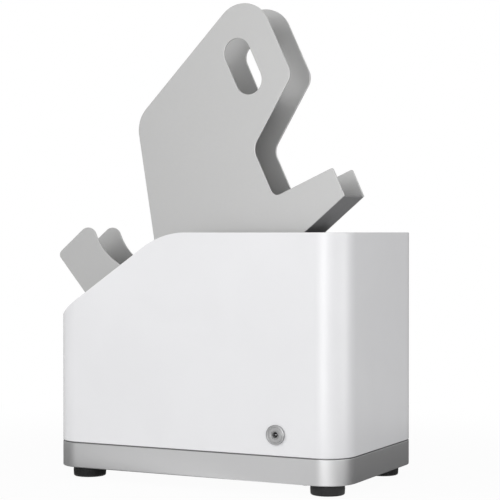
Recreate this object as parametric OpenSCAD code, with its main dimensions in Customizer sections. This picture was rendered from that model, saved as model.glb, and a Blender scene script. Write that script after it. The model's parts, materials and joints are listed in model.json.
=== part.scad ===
// Electric paper jogger. A V-shaped tray of two thin guide plates and a floor stands on a
// carrier plate and rubber buffers, and a motor with eccentric weights shakes it.
// Frame: +X to the right, +Y to the back, +Z up. The origin is on the desk, under the middle
// of the whole machine.

/* [Body] */
// Width of the housing, side to side
body_w = 347; // [330:1:420]
// Depth of the housing, front to back
body_d = 210; // [174:1:260]
// Height of the housing above the seam
body_h = 228; // [190:1:235]
// Radius of the upright corners
corner_r = 32; // [20:1:40]
// Thickness of the housing's wall
wall = 2.5; // [2:0.1:3]
// Angle of the slanted face from level
slant_angle = 34.2; // [30:0.1:38]
// From the left wall to where the slanted face would meet the top
slant_run = 138.3; // [128:0.1:150]
// Radius that blends the slanted face into the top
shoulder_r = 90; // [40:1:110]
// Depth of the turned-in lip round the tray's opening
lip_h = 6; // [3:0.5:10]
// From the origin to the middle of the housing, to the right
body_shift = 21.5; // [15:0.5:28]

/* [Base] */
// Height of the base tray below the seam
base_h = 28; // [24:1:36]
// Thickness of the base tray's side walls
base_wall = 5; // [5:0.1:7]
// Thickness of the base tray's floor
base_floor = 3; // [2:0.5:5]
// Height of the shadow gap at the seam
seam_h = 1.2; // [0.8:0.1:2]
// Depth of the shadow gap at the seam
seam_depth = 1; // [0.6:0.1:1.4]
// Diameter of a rubber foot
foot_d = 36; // [28:1:42]
// Height of a rubber foot
foot_h = 12.3; // [10:0.1:16]
// From the housing's sides to a foot's centre
foot_inset = 30; // [24:1:40]

/* [Tray] */
// Width of the paper space between the guide plates
stack_gap = 51; // [30:0.5:62]
// Thickness of the guide plates and the tray's floor
sheet_t = 2; // [1.5:0.1:2.5]
// Tilt of the long arm from level
tray_tilt = 40; // [37:0.5:43]
// Length of the long arm, from the corner of the V to its tip
long_arm = 315.5; // [295:0.5:340]
// Length of the short arm, from the corner of the V to its end
short_arm = 181.7; // [172:0.1:200]
// From the left wall to the corner of the V
corner_in = 73.5; // [68:0.5:82]
// Height of the corner of the V above the carrier plate
tray_lift = 61; // [58:0.5:70]
// Width of a finger slot
slot_w = 31.5; // [25:0.5:38]
// Length of a finger slot, end to end
slot_l = 64.5; // [50:0.5:78]
// Lean of a finger slot from upright
slot_lean = 25; // [15:1:35]
// Clearance round the tray where it passes the housing
tray_gap = 7; // [5:0.5:10]

/* [Drive] */
// Furthest that the tray shakes up or down
shake = 2; // [1:0.1:2.5]
// Thickness of the carrier plate
carrier_t = 3; // [2:0.5:4]
// Diameter of a rubber buffer
buffer_d = 25; // [20:1:30]
// Outer diameter of the motor
motor_d = 46; // [38:1:56]
// Length of the motor's can
motor_l = 60; // [48:1:70]
// Diameter of the motor's shaft
shaft_d = 8; // [6:0.5:10]
// Outer radius of an eccentric weight
weight_r = 21; // [16:0.5:26]
// Thickness of an eccentric weight
weight_t = 14; // [8:0.5:18]

/* [Fittings] */
// From the right wall to the centre of the power inlet
inlet_in = 74.6; // [60:0.1:90]
// Height of the power inlet above the seam
inlet_up = 21.5; // [18:0.1:40]
// Outer diameter of the inlet's bezel
bezel_d = 20.5; // [18:0.5:26]
// How far the bezel stands out of the front
bezel_proud = 3; // [2:0.1:4]
// Bore of the inlet that a round power plug enters
inlet_bore = 6.3; // [5.7:0.1:6.6]
// Diameter of the inlet's centre pin
inlet_pin_d = 2.5; // [1.6:0.1:2.6]
// From the right wall to the centre of the rocker switch
switch_in = 64; // [58:1:75]
// From the right wall to the centre of the speed knob
knob_in = 105; // [95:1:130]
// Height of the switch and the knob above the seam
controls_up = 40; // [30:1:60]
// Diameter of the speed knob
knob_d = 25; // [20:1:32]
// How far the speed knob stands out of the back
knob_proud = 8.5; // [7:0.5:9]

/* [Hidden] */

housing_white = [0.91, 0.91, 0.92];
base_grey = [0.72, 0.73, 0.74];
sheet_grey = [0.76, 0.76, 0.75];
rubber_black = [0.09, 0.09, 0.09];
steel = [0.62, 0.63, 0.65];
dark_plastic = [0.14, 0.14, 0.15];
board_green = [0.1, 0.36, 0.22];
copper = [0.72, 0.43, 0.25];
brass = [0.78, 0.64, 0.34];
lead_red = [0.7, 0.1, 0.08];
lead_black = [0.08, 0.08, 0.08];

round_fn = 64;      // a round face of a fitting
arc_step = 3;       // degrees between two points of a sampled arc
slack = 0.05;       // radial clearance of a fitted shank, shaft or bearing
seat = 0.3;         // clearance between curved or loose pieces that don't bind
past = 1;           // how far a cut runs past the face that it opens

// ---- places ---------------------------------------------------------------------------
x_left = body_shift - body_w / 2;
x_right = body_shift + body_w / 2;
y_back = body_d / 2;
z_floor = foot_h + base_floor;
z_seam = foot_h + base_h;
z_top = z_seam + body_h;
slant_x = x_left + slant_run;

carrier_z = z_seam;
carrier_top = carrier_z + carrier_t;
carrier_edge = 27;                       // from the housing's outside to the carrier plate
carrier_x0 = x_left + carrier_edge;
carrier_x1 = x_right - carrier_edge - 8;
carrier_y = y_back - carrier_edge;
carrier_flange = 10;                     // height of the carrier's turned-up edges

corner_x = x_left + corner_in;
corner_z = carrier_top + tray_lift;
plate_in = stack_gap / 2;
plate_out = plate_in + sheet_t;

foot_places = [
    [x_left + foot_inset, -y_back + foot_inset],
    [x_right - foot_inset, -y_back + foot_inset],
    [x_left + foot_inset, y_back - foot_inset],
    [x_right - foot_inset, y_back - foot_inset]
];
buffer_in = buffer_d / 2 + 8;            // from the carrier plate's edges to a buffer
buffer_places = [
    [carrier_x0 + buffer_in, -carrier_y + buffer_in],
    [carrier_x1 - buffer_in, -carrier_y + buffer_in],
    [carrier_x0 + buffer_in, carrier_y - buffer_in],
    [carrier_x1 - buffer_in, carrier_y - buffer_in]
];

// ---- small helpers --------------------------------------------------------------------
function unit(v) = v / norm(v);

// Points of the arc of radius r that rounds the corner at here.
function corner_arc(before, here, after, r) =
    r == 0 ? [here] :
    let (
        u = unit(before - here),
        w = unit(after - here),
        half = acos(u * w) / 2,
        centre = here + unit(u + w) * r / sin(half),
        start = here + u * r / tan(half) - centre,
        stop = here + w * r / tan(half) - centre,
        a0 = atan2(start.y, start.x),
        turn = (atan2(stop.y, stop.x) - a0 + 540) % 360 - 180,
        steps = max(2, ceil(abs(turn) / arc_step))
    )
    [for (i = [0:steps]) centre + r * [cos(a0 + turn * i / steps), sin(a0 + turn * i / steps)]];

// An outline from corners of the form [x, y, radius].
function rounded(corners) =
    let (n = len(corners))
    [
        for (i = [0:n - 1])
            let (
                before = corners[(i + n - 1) % n],
                here = corners[i],
                after = corners[(i + 1) % n]
            )
            each corner_arc([before.x, before.y], [here.x, here.y], [after.x, after.y], here.z)
    ];

// A flat drawing in X and Z, made solid from y0 to y1.
module across(y0, y1) {
    translate([0, y1, 0]) rotate([90, 0, 0]) linear_extrude(y1 - y0) children();
}

// A cylinder along +Y that starts at y = 0.
module rod_y(d, l, sides = round_fn) {
    rotate([-90, 0, 0]) cylinder(d = d, h = l, $fn = sides);
}

// The tray's own axes: X along the long arm, Z along the short arm, from the corner of the V.
module on_tray() {
    translate([corner_x, 0, corner_z]) rotate([0, -tray_tilt, 0]) children();
}

function tray_point(along, up) = [
    corner_x + along * cos(tray_tilt) - up * sin(tray_tilt),
    corner_z + along * sin(tray_tilt) + up * cos(tray_tilt)
];

// A pan-headed screw: its head starts at z = 0 and rises, its shank goes down.
module screw(d, l, head_d, head_h) {
    difference() {
        cylinder(d = head_d, h = head_h, $fn = round_fn);
        translate([0, 0, head_h * 0.45]) cylinder(d = head_d * 0.45, h = head_h, $fn = 6);
    }
    translate([0, 0, -l]) cylinder(d = d, h = l, $fn = round_fn);
}

// A hexagon nut on z = 0, for a shank of diameter d.
module nut(d, flats, h) {
    difference() {
        cylinder(d = flats / cos(30), h = h, $fn = 6);
        translate([0, 0, -past]) cylinder(d = d + 2 * slack, h = h + 2 * past, $fn = round_fn);
    }
}

// ---- fastener sizes -------------------------------------------------------------------
m4 = 4;
m4_head_d = 8;
m4_head_h = 2.8;
m4_flats = 7;
m4_nut_h = 3.2;
m5 = 5;
m5_head_d = 9.5;
m5_head_h = 3.2;
m5_flats = 8;
m5_nut_h = 4;
m6 = 6;
m6_flats = 10;
m6_nut_h = 5;
hole_slack = 0.4;                        // how much wider a plain hole is than its screw

// ---- housing --------------------------------------------------------------------------
// The housing's plan, drawn in by inset on all sides.
module plan(inset) {
    r = corner_r - inset;
    translate([x_left + inset + r, -y_back + inset])
        square([body_w - 2 * inset - 2 * r, body_d - 2 * inset]);
    translate([x_left + inset, -y_back + inset + r])
        square([body_w - 2 * inset, body_d - 2 * inset - 2 * r]);
    for (x = [x_left + corner_r, x_right - corner_r], y = [-y_back + corner_r, y_back - corner_r])
        translate([x, y]) circle(r = r, $fn = 96);
}

// The housing's outline seen from the front, drawn in by inset except at its open foot.
module front_outline(inset, drop = 0) {
    reach = slant_run - inset;
    polygon(rounded([
        [x_left + inset, z_seam - drop, 0],
        [x_right - inset, z_seam - drop, 0],
        [x_right - inset, z_top - inset, 0],
        [slant_x + inset * tan(slant_angle / 2), z_top - inset, shoulder_r - inset],
        [x_left + inset, z_top - reach * tan(slant_angle) - inset / cos(slant_angle), 0]
    ]));
}

module body_block(inset, drop = 0) {
    intersection() {
        translate([0, 0, z_seam - drop]) linear_extrude(body_h + drop) plan(inset);
        across(-y_back, y_back) front_outline(inset, drop);
    }
}

// Where the tray's lower edges cross the slanted face and the top.
lip_wall = 2;
short_cross_x =
    (z_top - corner_z - slant_x * tan(slant_angle) + corner_x * -tan(90 - tray_tilt))
    / (-tan(90 - tray_tilt) - tan(slant_angle));
long_cross_x = corner_x + (z_top - corner_z) / tan(tray_tilt);
mouth_x0 = max(short_cross_x - tray_gap / 2, x_left + wall + lip_wall);
mouth_x1 = long_cross_x + tray_gap + 2 * shake;
mouth_y = plate_out + tray_gap;
mouth_r = 6;

module mouth_plan(grow) {
    r = mouth_r + grow;
    for (x = [mouth_x0 + mouth_r, mouth_x1 - mouth_r], y = [-mouth_y + mouth_r, mouth_y - mouth_r])
        translate([x, y]) circle(r = r, $fn = round_fn);
    translate([mouth_x0 + mouth_r, -mouth_y - grow])
        square([mouth_x1 - mouth_x0 - 2 * mouth_r, 2 * (mouth_y + grow)]);
    translate([mouth_x0 - grow, -mouth_y + mouth_r])
        square([mouth_x1 - mouth_x0 + 2 * grow, 2 * (mouth_y - mouth_r)]);
}

// Bosses of the housing that its screws enter from below.
boss_d = 12;
boss_in = 12.5;                          // from the front or back to a boss's centre
boss_side = 46;                          // from the left or right to a boss's centre
boss_top = z_seam + 42;
boss_places = [
    [x_left + boss_side, -1],
    [x_right - boss_side, -1],
    [x_left + boss_side, 1],
    [x_right - boss_side, 1]
];
rib_t = 2.5;
base_lip = 5;                            // height of the base tray's lip inside the housing
rib_z0 = z_seam + base_lip + seat;

module boss(place) {
    y = place.y * (y_back - boss_in);
    translate([place.x, y, z_floor + seat])
        cylinder(d = boss_d, h = boss_top - z_floor - seat, $fn = round_fn);
    translate([place.x - rib_t / 2, min(y, place.y * (y_back - wall / 2)), rib_z0 + 1])
        cube([rib_t, boss_in - wall / 2, boss_top - rib_z0 - 1]);
}

housing_screw_l = 18;
housing_head_d = 9;                      // flat wafer heads, out of sight under the base tray
housing_head_h = 1.5;

module housing_shell() {
    color(housing_white)
    difference() {
        union() {
            difference() {
                body_block(0);
                body_block(wall, past);
                translate([0, 0, z_seam]) linear_extrude(body_h + past) mouth_plan(0);
            }
            // lip round the opening, hung from the underside of the slant and the top
            intersection() {
                translate([0, 0, z_seam]) linear_extrude(body_h) difference() {
                    mouth_plan(lip_wall);
                    mouth_plan(0);
                }
                difference() {
                    body_block(wall / 2);
                    translate([0, 0, -wall - lip_h]) body_block(0, base_h);
                }
            }
            intersection() {
                for (place = boss_places) boss(place);
                body_block(wall / 2, base_h);
            }
        }
        for (place = boss_places)
            translate([place.x, place.y * (y_back - boss_in), z_floor])
                cylinder(d = m4 + 2 * slack, h = housing_screw_l + past, $fn = round_fn);
        // holes for the inlet, the switch and the speed control
        translate([inlet_x, -y_back - past, inlet_z]) rod_y(inlet_thread + hole_slack, wall + 2 * past);
        translate([switch_x - case_w / 2 - seat, y_back - wall - past, controls_z - case_h / 2 - seat])
            cube([case_w + 2 * seat, wall + 2 * past, case_h + 2 * seat]);
        translate([knob_x, y_back - wall - past, controls_z])
            rod_y(control_thread + hole_slack, wall + 2 * past);
    }
}

// ---- base tray, feet and their fasteners ----------------------------------------------
lip_t = 2;                               // thickness of the base tray's lip

module base_tray() {
    color(base_grey)
    difference() {
        union() {
            translate([0, 0, foot_h]) linear_extrude(base_h - seam_h) plan(0);
            translate([0, 0, foot_h]) linear_extrude(base_h) plan(seam_depth);
            translate([0, 0, foot_h]) linear_extrude(base_h + base_lip) plan(wall + seat);
        }
        translate([0, 0, z_floor]) linear_extrude(base_h) plan(base_wall);
        translate([0, 0, z_floor]) linear_extrude(base_h + base_lip) plan(wall + seat + lip_t);
        for (p = foot_places)
            translate([p.x, p.y, foot_h - past])
                cylinder(d = m5 + hole_slack, h = base_floor + 2 * past, $fn = round_fn);
        for (p = buffer_places)
            translate([p.x, p.y, foot_h - past])
                cylinder(d = m6 + hole_slack, h = base_floor + 2 * past, $fn = round_fn);
        for (p = boss_places)
            translate([p.x, p.y * (y_back - boss_in), foot_h - past])
                cylinder(d = m4 + hole_slack, h = base_floor + 2 * past, $fn = round_fn);
        for (p = spacer_places)
            translate([p.x, p.y, foot_h - past])
                cylinder(d = m3 + hole_slack, h = base_floor + 2 * past, $fn = round_fn);
    }
}

foot_bore = 11;                          // recess that takes the head of a foot's screw
foot_recess = 5.5;
foot_edge = 1.5;                         // chamfer at a foot's edges

module foot(place) {
    color(rubber_black)
    translate([place.x, place.y, 0])
    difference() {
        rotate_extrude($fn = 96) polygon([
            [0, 0],
            [foot_d / 2 - foot_edge, 0],
            [foot_d / 2, foot_edge],
            [foot_d / 2, foot_h - foot_edge],
            [foot_d / 2 - foot_edge, foot_h],
            [0, foot_h]
        ]);
        translate([0, 0, -past]) cylinder(d = m5 + hole_slack, h = foot_h + 2 * past, $fn = round_fn);
        translate([0, 0, -past]) cylinder(d = foot_bore, h = foot_recess + past, $fn = round_fn);
    }
}

module foot_front_left() { foot(foot_places[0]); }
module foot_front_right() { foot(foot_places[1]); }
module foot_rear_left() { foot(foot_places[2]); }
module foot_rear_right() { foot(foot_places[3]); }

module foot_screws() {
    color(steel)
    for (p = foot_places)
        translate([p.x, p.y, foot_recess]) rotate([180, 0, 0])
            screw(m5, z_floor + m5_nut_h + 1 - foot_recess, m5_head_d, m5_head_h);
}

module foot_nuts() {
    color(steel) for (p = foot_places) translate([p.x, p.y, z_floor]) nut(m5, m5_flats, m5_nut_h);
}

module housing_screws() {
    color(steel)
    for (p = boss_places)
        translate([p.x, p.y * (y_back - boss_in), foot_h]) rotate([180, 0, 0])
            screw(m4, base_floor + housing_screw_l - 1, housing_head_d, housing_head_h);
}

// ---- rubber buffers -------------------------------------------------------------------
washer_t = 1.5;                          // steel plate bonded to each end of a buffer
stud_end = 1;                            // how far a stud stands past its nut
waist = 1.5;                             // how far a buffer's side draws in

module buffer(place) {
    h = carrier_z - z_floor - 2 * washer_t;
    bow = (h * h / 4 + waist * waist) / (2 * waist);
    color(rubber_black)
    translate([place.x, place.y, z_floor + washer_t])
    difference() {
        cylinder(d = buffer_d, h = h, $fn = round_fn);
        rotate_extrude($fn = round_fn)
            translate([buffer_d / 2 - waist + bow, h / 2]) circle(r = bow, $fn = 180);
    }
}

module buffer_front_left() { buffer(buffer_places[0]); }
module buffer_front_right() { buffer(buffer_places[1]); }
module buffer_rear_left() { buffer(buffer_places[2]); }
module buffer_rear_right() { buffer(buffer_places[3]); }

module buffer_lower_studs() {
    stud_l = base_floor + m6_nut_h + stud_end;
    color(steel)
    for (p = buffer_places) translate([p.x, p.y, z_floor]) {
        cylinder(d = buffer_d, h = washer_t, $fn = round_fn);
        translate([0, 0, -stud_l]) cylinder(d = m6, h = stud_l, $fn = round_fn);
    }
}

module buffer_lower_nuts() {
    color(steel)
    for (p = buffer_places) translate([p.x, p.y, foot_h - m6_nut_h]) nut(m6, m6_flats, m6_nut_h);
}

module buffer_upper_studs() {
    color(steel)
    for (p = buffer_places) translate([p.x, p.y, carrier_z - washer_t]) {
        cylinder(d = buffer_d, h = washer_t, $fn = round_fn);
        cylinder(d = m6, h = washer_t + carrier_t + m6_nut_h + stud_end, $fn = round_fn);
    }
}

module buffer_upper_nuts() {
    color(steel) for (p = buffer_places) translate([p.x, p.y, carrier_top]) nut(m6, m6_flats, m6_nut_h);
}

// ---- carrier plate and cradle brackets ------------------------------------------------
bracket_l = 30;                          // length of a cradle bracket along X
bracket_t = 2.5;
bracket_h = 40;
bracket_out = 35;                        // from the corner of the V to a bracket's middle
bracket_screw_z = carrier_top + 28;
bracket_bolt_y = plate_in - 12;
bracket_x = [corner_x - bracket_out, corner_x + bracket_out];
lead_hole_d = 14;                        // holes for the motor's leads
lead_hole_out = 27;                      // from the motor's middle to each of them
lead_hole_y = 38.5;

module carrier_plate() {
    color(steel)
    difference() {
        union() {
            translate([carrier_x0, -carrier_y, carrier_z])
                cube([carrier_x1 - carrier_x0, 2 * carrier_y, carrier_t]);
            for (y = [-carrier_y, carrier_y - carrier_t])
                translate([carrier_x0, y, carrier_z])
                    cube([carrier_x1 - carrier_x0, carrier_t, carrier_t + carrier_flange]);
        }
        for (p = buffer_places)
            translate([p.x, p.y, carrier_z - past])
                cylinder(d = m6 + hole_slack, h = carrier_t + 2 * past, $fn = round_fn);
        for (x = bracket_x, y = [-bracket_bolt_y, bracket_bolt_y])
            translate([x, y, carrier_z - past])
                cylinder(d = m5 + hole_slack, h = carrier_t + 2 * past, $fn = round_fn);
        for (p = strap_places)
            translate([p.x, p.y, carrier_z - past])
                cylinder(d = m4 + hole_slack, h = carrier_t + 2 * past, $fn = round_fn);
        for (x = [-lead_hole_out, lead_hole_out])
            translate([motor_x + x, lead_hole_y, carrier_z - past])
                cylinder(d = lead_hole_d, h = carrier_t + 2 * past, $fn = round_fn);
    }
}

module cradle_bracket(x) {
    color(steel)
    difference() {
        translate([x - bracket_l / 2, -plate_in, carrier_top]) cube([bracket_l, stack_gap, bracket_h]);
        translate([x - bracket_l / 2 - past, -plate_in + bracket_t, carrier_top + bracket_t])
            cube([bracket_l + 2 * past, stack_gap - 2 * bracket_t, bracket_h]);
        for (y = [-bracket_bolt_y, bracket_bolt_y])
            translate([x, y, carrier_top - past])
                cylinder(d = m5 + hole_slack, h = bracket_t + 2 * past, $fn = round_fn);
        translate([x, -plate_in - past, bracket_screw_z])
            rod_y(m4 + hole_slack, stack_gap + 2 * past);
    }
}

module left_cradle_bracket() { cradle_bracket(bracket_x[0]); }
module right_cradle_bracket() { cradle_bracket(bracket_x[1]); }

module bracket_bolts() {
    color(steel)
    for (x = bracket_x, y = [-bracket_bolt_y, bracket_bolt_y])
        translate([x, y, carrier_top + bracket_t])
            screw(m5, bracket_t + carrier_t + m5_nut_h + stud_end, m5_head_d, m5_head_h);
}

module bracket_nuts() {
    color(steel)
    for (x = bracket_x, y = [-bracket_bolt_y, bracket_bolt_y])
        translate([x, y, carrier_z - m5_nut_h]) nut(m5, m5_flats, m5_nut_h);
}

// ---- tray -----------------------------------------------------------------------------
// Corners of a guide plate on the tray's axes: along the long arm, up from it, radius.
plate_corners = [
    [long_arm, 0, 0.5],
    [long_arm + 8.6, 31.6, 2.5],
    [long_arm - 63.8, 52.3, 8],
    [long_arm - 49.1, 108.9, 18],
    [long_arm + 36.6, 138.9, 17.5],
    [long_arm + 66.1, 250.2, 33.5],
    [177.8, 229.3, 33.5],
    [75.3, 56, 18],
    [48, short_arm - 35.8, 65],
    [58.5, short_arm, 11.5],
    [0, short_arm, 6]
];
skirt_left = 54.5;                       // from the corner of the V to the plates' lower ends
skirt_right = 65.5;
skirt_z = carrier_top + 2;
skirt_corners = [
    [corner_x - skirt_left, corner_z + skirt_left * tan(90 - tray_tilt), 0],
    [corner_x - skirt_left, skirt_z, 5],
    [corner_x + skirt_right, skirt_z, 5],
    [corner_x + skirt_right, corner_z + skirt_right * tan(tray_tilt), 0]
];
plate_outline = rounded(concat(
    [for (c = plate_corners) let (p = tray_point(c.x, c.y)) [p.x, p.y, c.z]],
    skirt_corners
));
slot_along = long_arm - 1;               // the finger slot's centre on the tray's axes
slot_up = 185.2;

flange_h = 12;                           // the floor's turned-down flanges
flange_from = 25;
flange_to = 64;
flange_screw = 45;                       // from the corner of the V to a flange's screw
flange_screw_down = 6.5;
floor_tip = 1.5;                         // how far the floor stops short of the long arm's tip
floor_heel = 6;                          // how far it stops short of the short arm's end

// Screw places on both sides of the tray, as [x, z, thickness that the screw clamps].
function side_screws() = [
    for (x = bracket_x) [x, bracket_screw_z, sheet_t + bracket_t],
    let (p = tray_point(flange_screw, -flange_screw_down)) [p.x, p.y, 2 * sheet_t],
    let (p = tray_point(-flange_screw_down, flange_screw)) [p.x, p.y, 2 * sheet_t]
];

module finger_slot() {
    run = slot_l - slot_w;
    on_tray() translate([slot_along, -plate_out - past, slot_up])
        rotate([0, tray_tilt - slot_lean, 0])
            for (end = [-1, 1]) {
                translate([0, 0, end * run / 2]) rod_y(slot_w, 2 * (plate_out + past), 96);
                translate([-slot_w / 2, 0, -run / 2]) cube([slot_w, 2 * (plate_out + past), run]);
            }
}

module guide_plate(y0) {
    color(sheet_grey)
    difference() {
        across(y0, y0 + sheet_t) polygon(plate_outline);
        finger_slot();
        for (s = side_screws())
            translate([s.x, y0 - past, s.y]) rod_y(m4 + hole_slack, sheet_t + 2 * past);
    }
}

module front_guide_plate() { guide_plate(-plate_out); }
module rear_guide_plate() { guide_plate(plate_in); }

module tray_floor() {
    color(sheet_grey)
    difference() {
        union() {
            on_tray() across(-plate_in, plate_in) polygon(rounded([
                [0, 0, 2 * sheet_t],
                [long_arm - floor_tip, 0, 0],
                [long_arm - floor_tip, sheet_t, 0],
                [sheet_t, sheet_t, sheet_t],
                [sheet_t, short_arm - floor_heel, 0],
                [0, short_arm - floor_heel, 0]
            ]));
            for (y = [-plate_in, plate_in - sheet_t]) on_tray() {
                translate([flange_from, y, -flange_h])
                    cube([flange_to - flange_from, sheet_t, flange_h + sheet_t / 2]);
                translate([-flange_h, y, flange_from])
                    cube([flange_h + sheet_t / 2, sheet_t, flange_to - flange_from]);
            }
        }
        for (s = side_screws())
            translate([s.x, -plate_in - past, s.y]) rod_y(m4 + hole_slack, stack_gap + 2 * past);
    }
}

module tray_screws() {
    color(steel)
    for (s = side_screws(), side = [-1, 1])
        translate([s.x, side * plate_out, s.y]) rotate([-90 * side, 0, 0])
            screw(m4, s.z + m4_nut_h + stud_end, m4_head_d, m4_head_h);
}

module tray_nuts() {
    color(steel)
    for (s = side_screws(), side = [-1, 1])
        translate([s.x, side * (plate_out - s.z), s.y]) rotate([90 * side, 0, 0])
            nut(m4, m4_flats, m4_nut_h);
}

// ---- motor ----------------------------------------------------------------------------
saddle_gap = 6;                          // from the carrier plate to the can's lowest line
motor_x = corner_x + 156.5;
motor_z = carrier_top + saddle_gap + motor_d / 2;
can_t = 2;
cap_t = 4;
spigot_t = 3;
bearing_d = 16;
bearing_t = 5;
magnet_t = 4;
magnet_l = motor_l - 18;
core_d = motor_d - 2 * can_t - 2 * magnet_t - 1.5;
core_l = magnet_l - 6;
commutator_d = 17;
commutator_l = 7;
commutator_y = core_l / 2 + 1;
tag_l = 5;                               // how far a brush's terminal tag stands out of the cap
weight_y = motor_l / 2 + cap_t + tag_l + 2.5;    // where the inner face of a weight lies
shaft_reach = weight_y + weight_t + 3;

module at_motor(y = 0) {
    translate([motor_x, y, motor_z]) children();
}

module motor_can() {
    color(steel)
    at_motor(-motor_l / 2) difference() {
        rod_y(motor_d, motor_l, 96);
        translate([0, -past, 0]) rod_y(motor_d - 2 * can_t, motor_l + 2 * past, 96);
    }
}

// An end cap on the can's front (side -1) or back (side 1), with a seat for its bearing.
module motor_cap(side) {
    color(dark_plastic)
    at_motor() rotate([0, 0, side > 0 ? 0 : 180]) translate([0, motor_l / 2, 0])
    difference() {
        union() {
            rod_y(motor_d, cap_t, 96);
            translate([0, -spigot_t, 0]) rod_y(motor_d - 2 * can_t - 2 * slack, spigot_t + 1, 96);
        }
        translate([0, -spigot_t - past, 0]) rod_y(bearing_d + 2 * slack, bearing_t + past);
        translate([0, -past, 0]) rod_y(bearing_d - 4, cap_t + 2 * past);
        if (side > 0) for (x = [-1, 1])
            translate([x * brush_x - brush_w / 2 - slack, -spigot_t - past, -brush_w / 2 - slack])
                cube([brush_w + 2 * slack, spigot_t + cap_t + 2 * past, brush_w + 2 * slack]);
    }
}

module motor_front_cap() { motor_cap(-1); }
module motor_rear_cap() { motor_cap(1); }

module motor_bearings() {
    color(brass)
    for (side = [-1, 1])
        at_motor() rotate([0, 0, side > 0 ? 0 : 180])
            translate([0, motor_l / 2 - spigot_t, 0]) difference() {
                rod_y(bearing_d, bearing_t);
                translate([0, -past, 0]) rod_y(shaft_d + 2 * slack, bearing_t + 2 * past);
            }
}

module motor_magnets() {
    span = 64;                           // half the angle that a magnet covers
    outer = motor_d - 2 * can_t - 2 * slack;
    color(dark_plastic)
    at_motor(-magnet_l / 2) intersection() {
        difference() {
            rod_y(outer, magnet_l, 96);
            translate([0, -past, 0]) rod_y(outer - 2 * magnet_t, magnet_l + 2 * past, 96);
        }
        for (side = [0, 180]) rotate([0, side, 0]) across(0, magnet_l)
            polygon([[0, 0], [motor_d, -motor_d / tan(span)], [motor_d, motor_d / tan(span)]]);
    }
}

brush_w = 4;
brush_x = commutator_d / 2 + seat + brush_w / 2;

module motor_brushes() {
    color(copper)
    for (x = [-1, 1])
        at_motor(commutator_y + 1) translate([x * brush_x - brush_w / 2, 0, -brush_w / 2])
            cube([brush_w, motor_l / 2 + cap_t + tag_l - commutator_y - 1, brush_w]);
}

module motor_shaft() {
    color(steel) at_motor(-shaft_reach) rod_y(shaft_d, 2 * shaft_reach);
}

module motor_armature() {
    slots = 5;
    color(copper)
    at_motor() difference() {
        union() {
            difference() {
                translate([0, -core_l / 2, 0]) rod_y(core_d, core_l);
                for (i = [0:slots - 1]) rotate([0, i * 360 / slots, 0])
                    translate([core_d / 2 - 5, -core_l / 2 - past, -1.25])
                        cube([6, core_l + 2 * past, 2.5]);
            }
            translate([0, core_l / 2 - 1, 0])
                rod_y(commutator_d, commutator_y + commutator_l - core_l / 2 + 1);
        }
        translate([0, -core_l, 0]) rod_y(shaft_d + 2 * slack, 2 * core_l + commutator_l);
    }
}

hub_d = shaft_d + 11;
set_screw_d = 4;

// An eccentric weight: a half disc with a hub, bored for the shaft and drilled for its screw.
module weight(side) {
    color(steel)
    at_motor(side > 0 ? weight_y : -weight_y - weight_t) difference() {
        union() {
            intersection() {
                rod_y(2 * weight_r, weight_t, 96);
                translate([-weight_r, 0, -weight_r]) cube([2 * weight_r, weight_t, weight_r]);
            }
            rod_y(hub_d, weight_t);
        }
        translate([0, -past, 0]) rod_y(shaft_d + 2 * slack, weight_t + 2 * past);
        translate([0, weight_t / 2, 0])
            cylinder(d = set_screw_d + 2 * slack, h = hub_d, $fn = round_fn);
    }
}

module front_weight() { weight(-1); }
module rear_weight() { weight(1); }

module weight_set_screws() {
    grip = shaft_d / 2 + 2 * slack;
    color(dark_plastic)
    for (side = [-1, 1])
        at_motor(side * (weight_y + weight_t / 2)) translate([0, 0, grip]) difference() {
            cylinder(d = set_screw_d, h = (hub_d - shaft_d) / 2 - 0.6, $fn = round_fn);
            translate([0, 0, (hub_d - shaft_d) / 2 - 2.6]) cylinder(d = 2, h = 3, $fn = 6);
        }
}

// Saddle block under the can, and two straps over it.
saddle_w = motor_d + 24;
saddle_l = motor_l - 8;
saddle_h = saddle_gap + motor_d * 0.3;
strap_t = 1.5;
strap_w = 12;
strap_y = saddle_l / 2 - strap_w / 2 - 2;
strap_bolt_x = motor_d / 2 + 7;
strap_places = [
    for (x = [-1, 1], y = [-1, 1]) [motor_x + x * strap_bolt_x, y * strap_y]
];

module motor_saddle() {
    color(dark_plastic)
    difference() {
        translate([motor_x - saddle_w / 2, -saddle_l / 2, carrier_top])
            cube([saddle_w, saddle_l, saddle_h]);
        at_motor(-saddle_l / 2 - past) rod_y(motor_d + 2 * seat, saddle_l + 2 * past, 96);
        for (p = strap_places)
            translate([p.x, p.y, carrier_top - past])
                cylinder(d = m4 + hole_slack, h = saddle_h + 2 * past, $fn = round_fn);
    }
}

module motor_straps() {
    inner = motor_d + 2 * seat;
    foot_z = carrier_top + saddle_h;
    color(steel)
    for (y = [-strap_y, strap_y]) difference() {
        union() {
            intersection() {
                at_motor(y - strap_w / 2) rod_y(inner + 2 * strap_t, strap_w, 96);
                translate([motor_x - motor_d, y - strap_w / 2, foot_z])
                    cube([2 * motor_d, strap_w, 2 * motor_d]);
            }
            translate([motor_x - saddle_w / 2, y - strap_w / 2, foot_z]) cube([saddle_w, strap_w, strap_t]);
        }
        at_motor(y - strap_w / 2 - past) rod_y(inner, strap_w + 2 * past, 96);
        for (x = [-strap_bolt_x, strap_bolt_x])
            translate([motor_x + x, y, foot_z - past])
                cylinder(d = m4 + hole_slack, h = strap_t + 2 * past, $fn = round_fn);
    }
}

module strap_bolts() {
    color(steel)
    for (p = strap_places)
        translate([p.x, p.y, carrier_top + saddle_h + strap_t])
            screw(m4, strap_t + saddle_h + carrier_t + m4_nut_h + stud_end, m4_head_d, m4_head_h);
}

module strap_nuts() {
    color(steel)
    for (p = strap_places) translate([p.x, p.y, carrier_z - m4_nut_h]) nut(m4, m4_flats, m4_nut_h);
}

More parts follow.
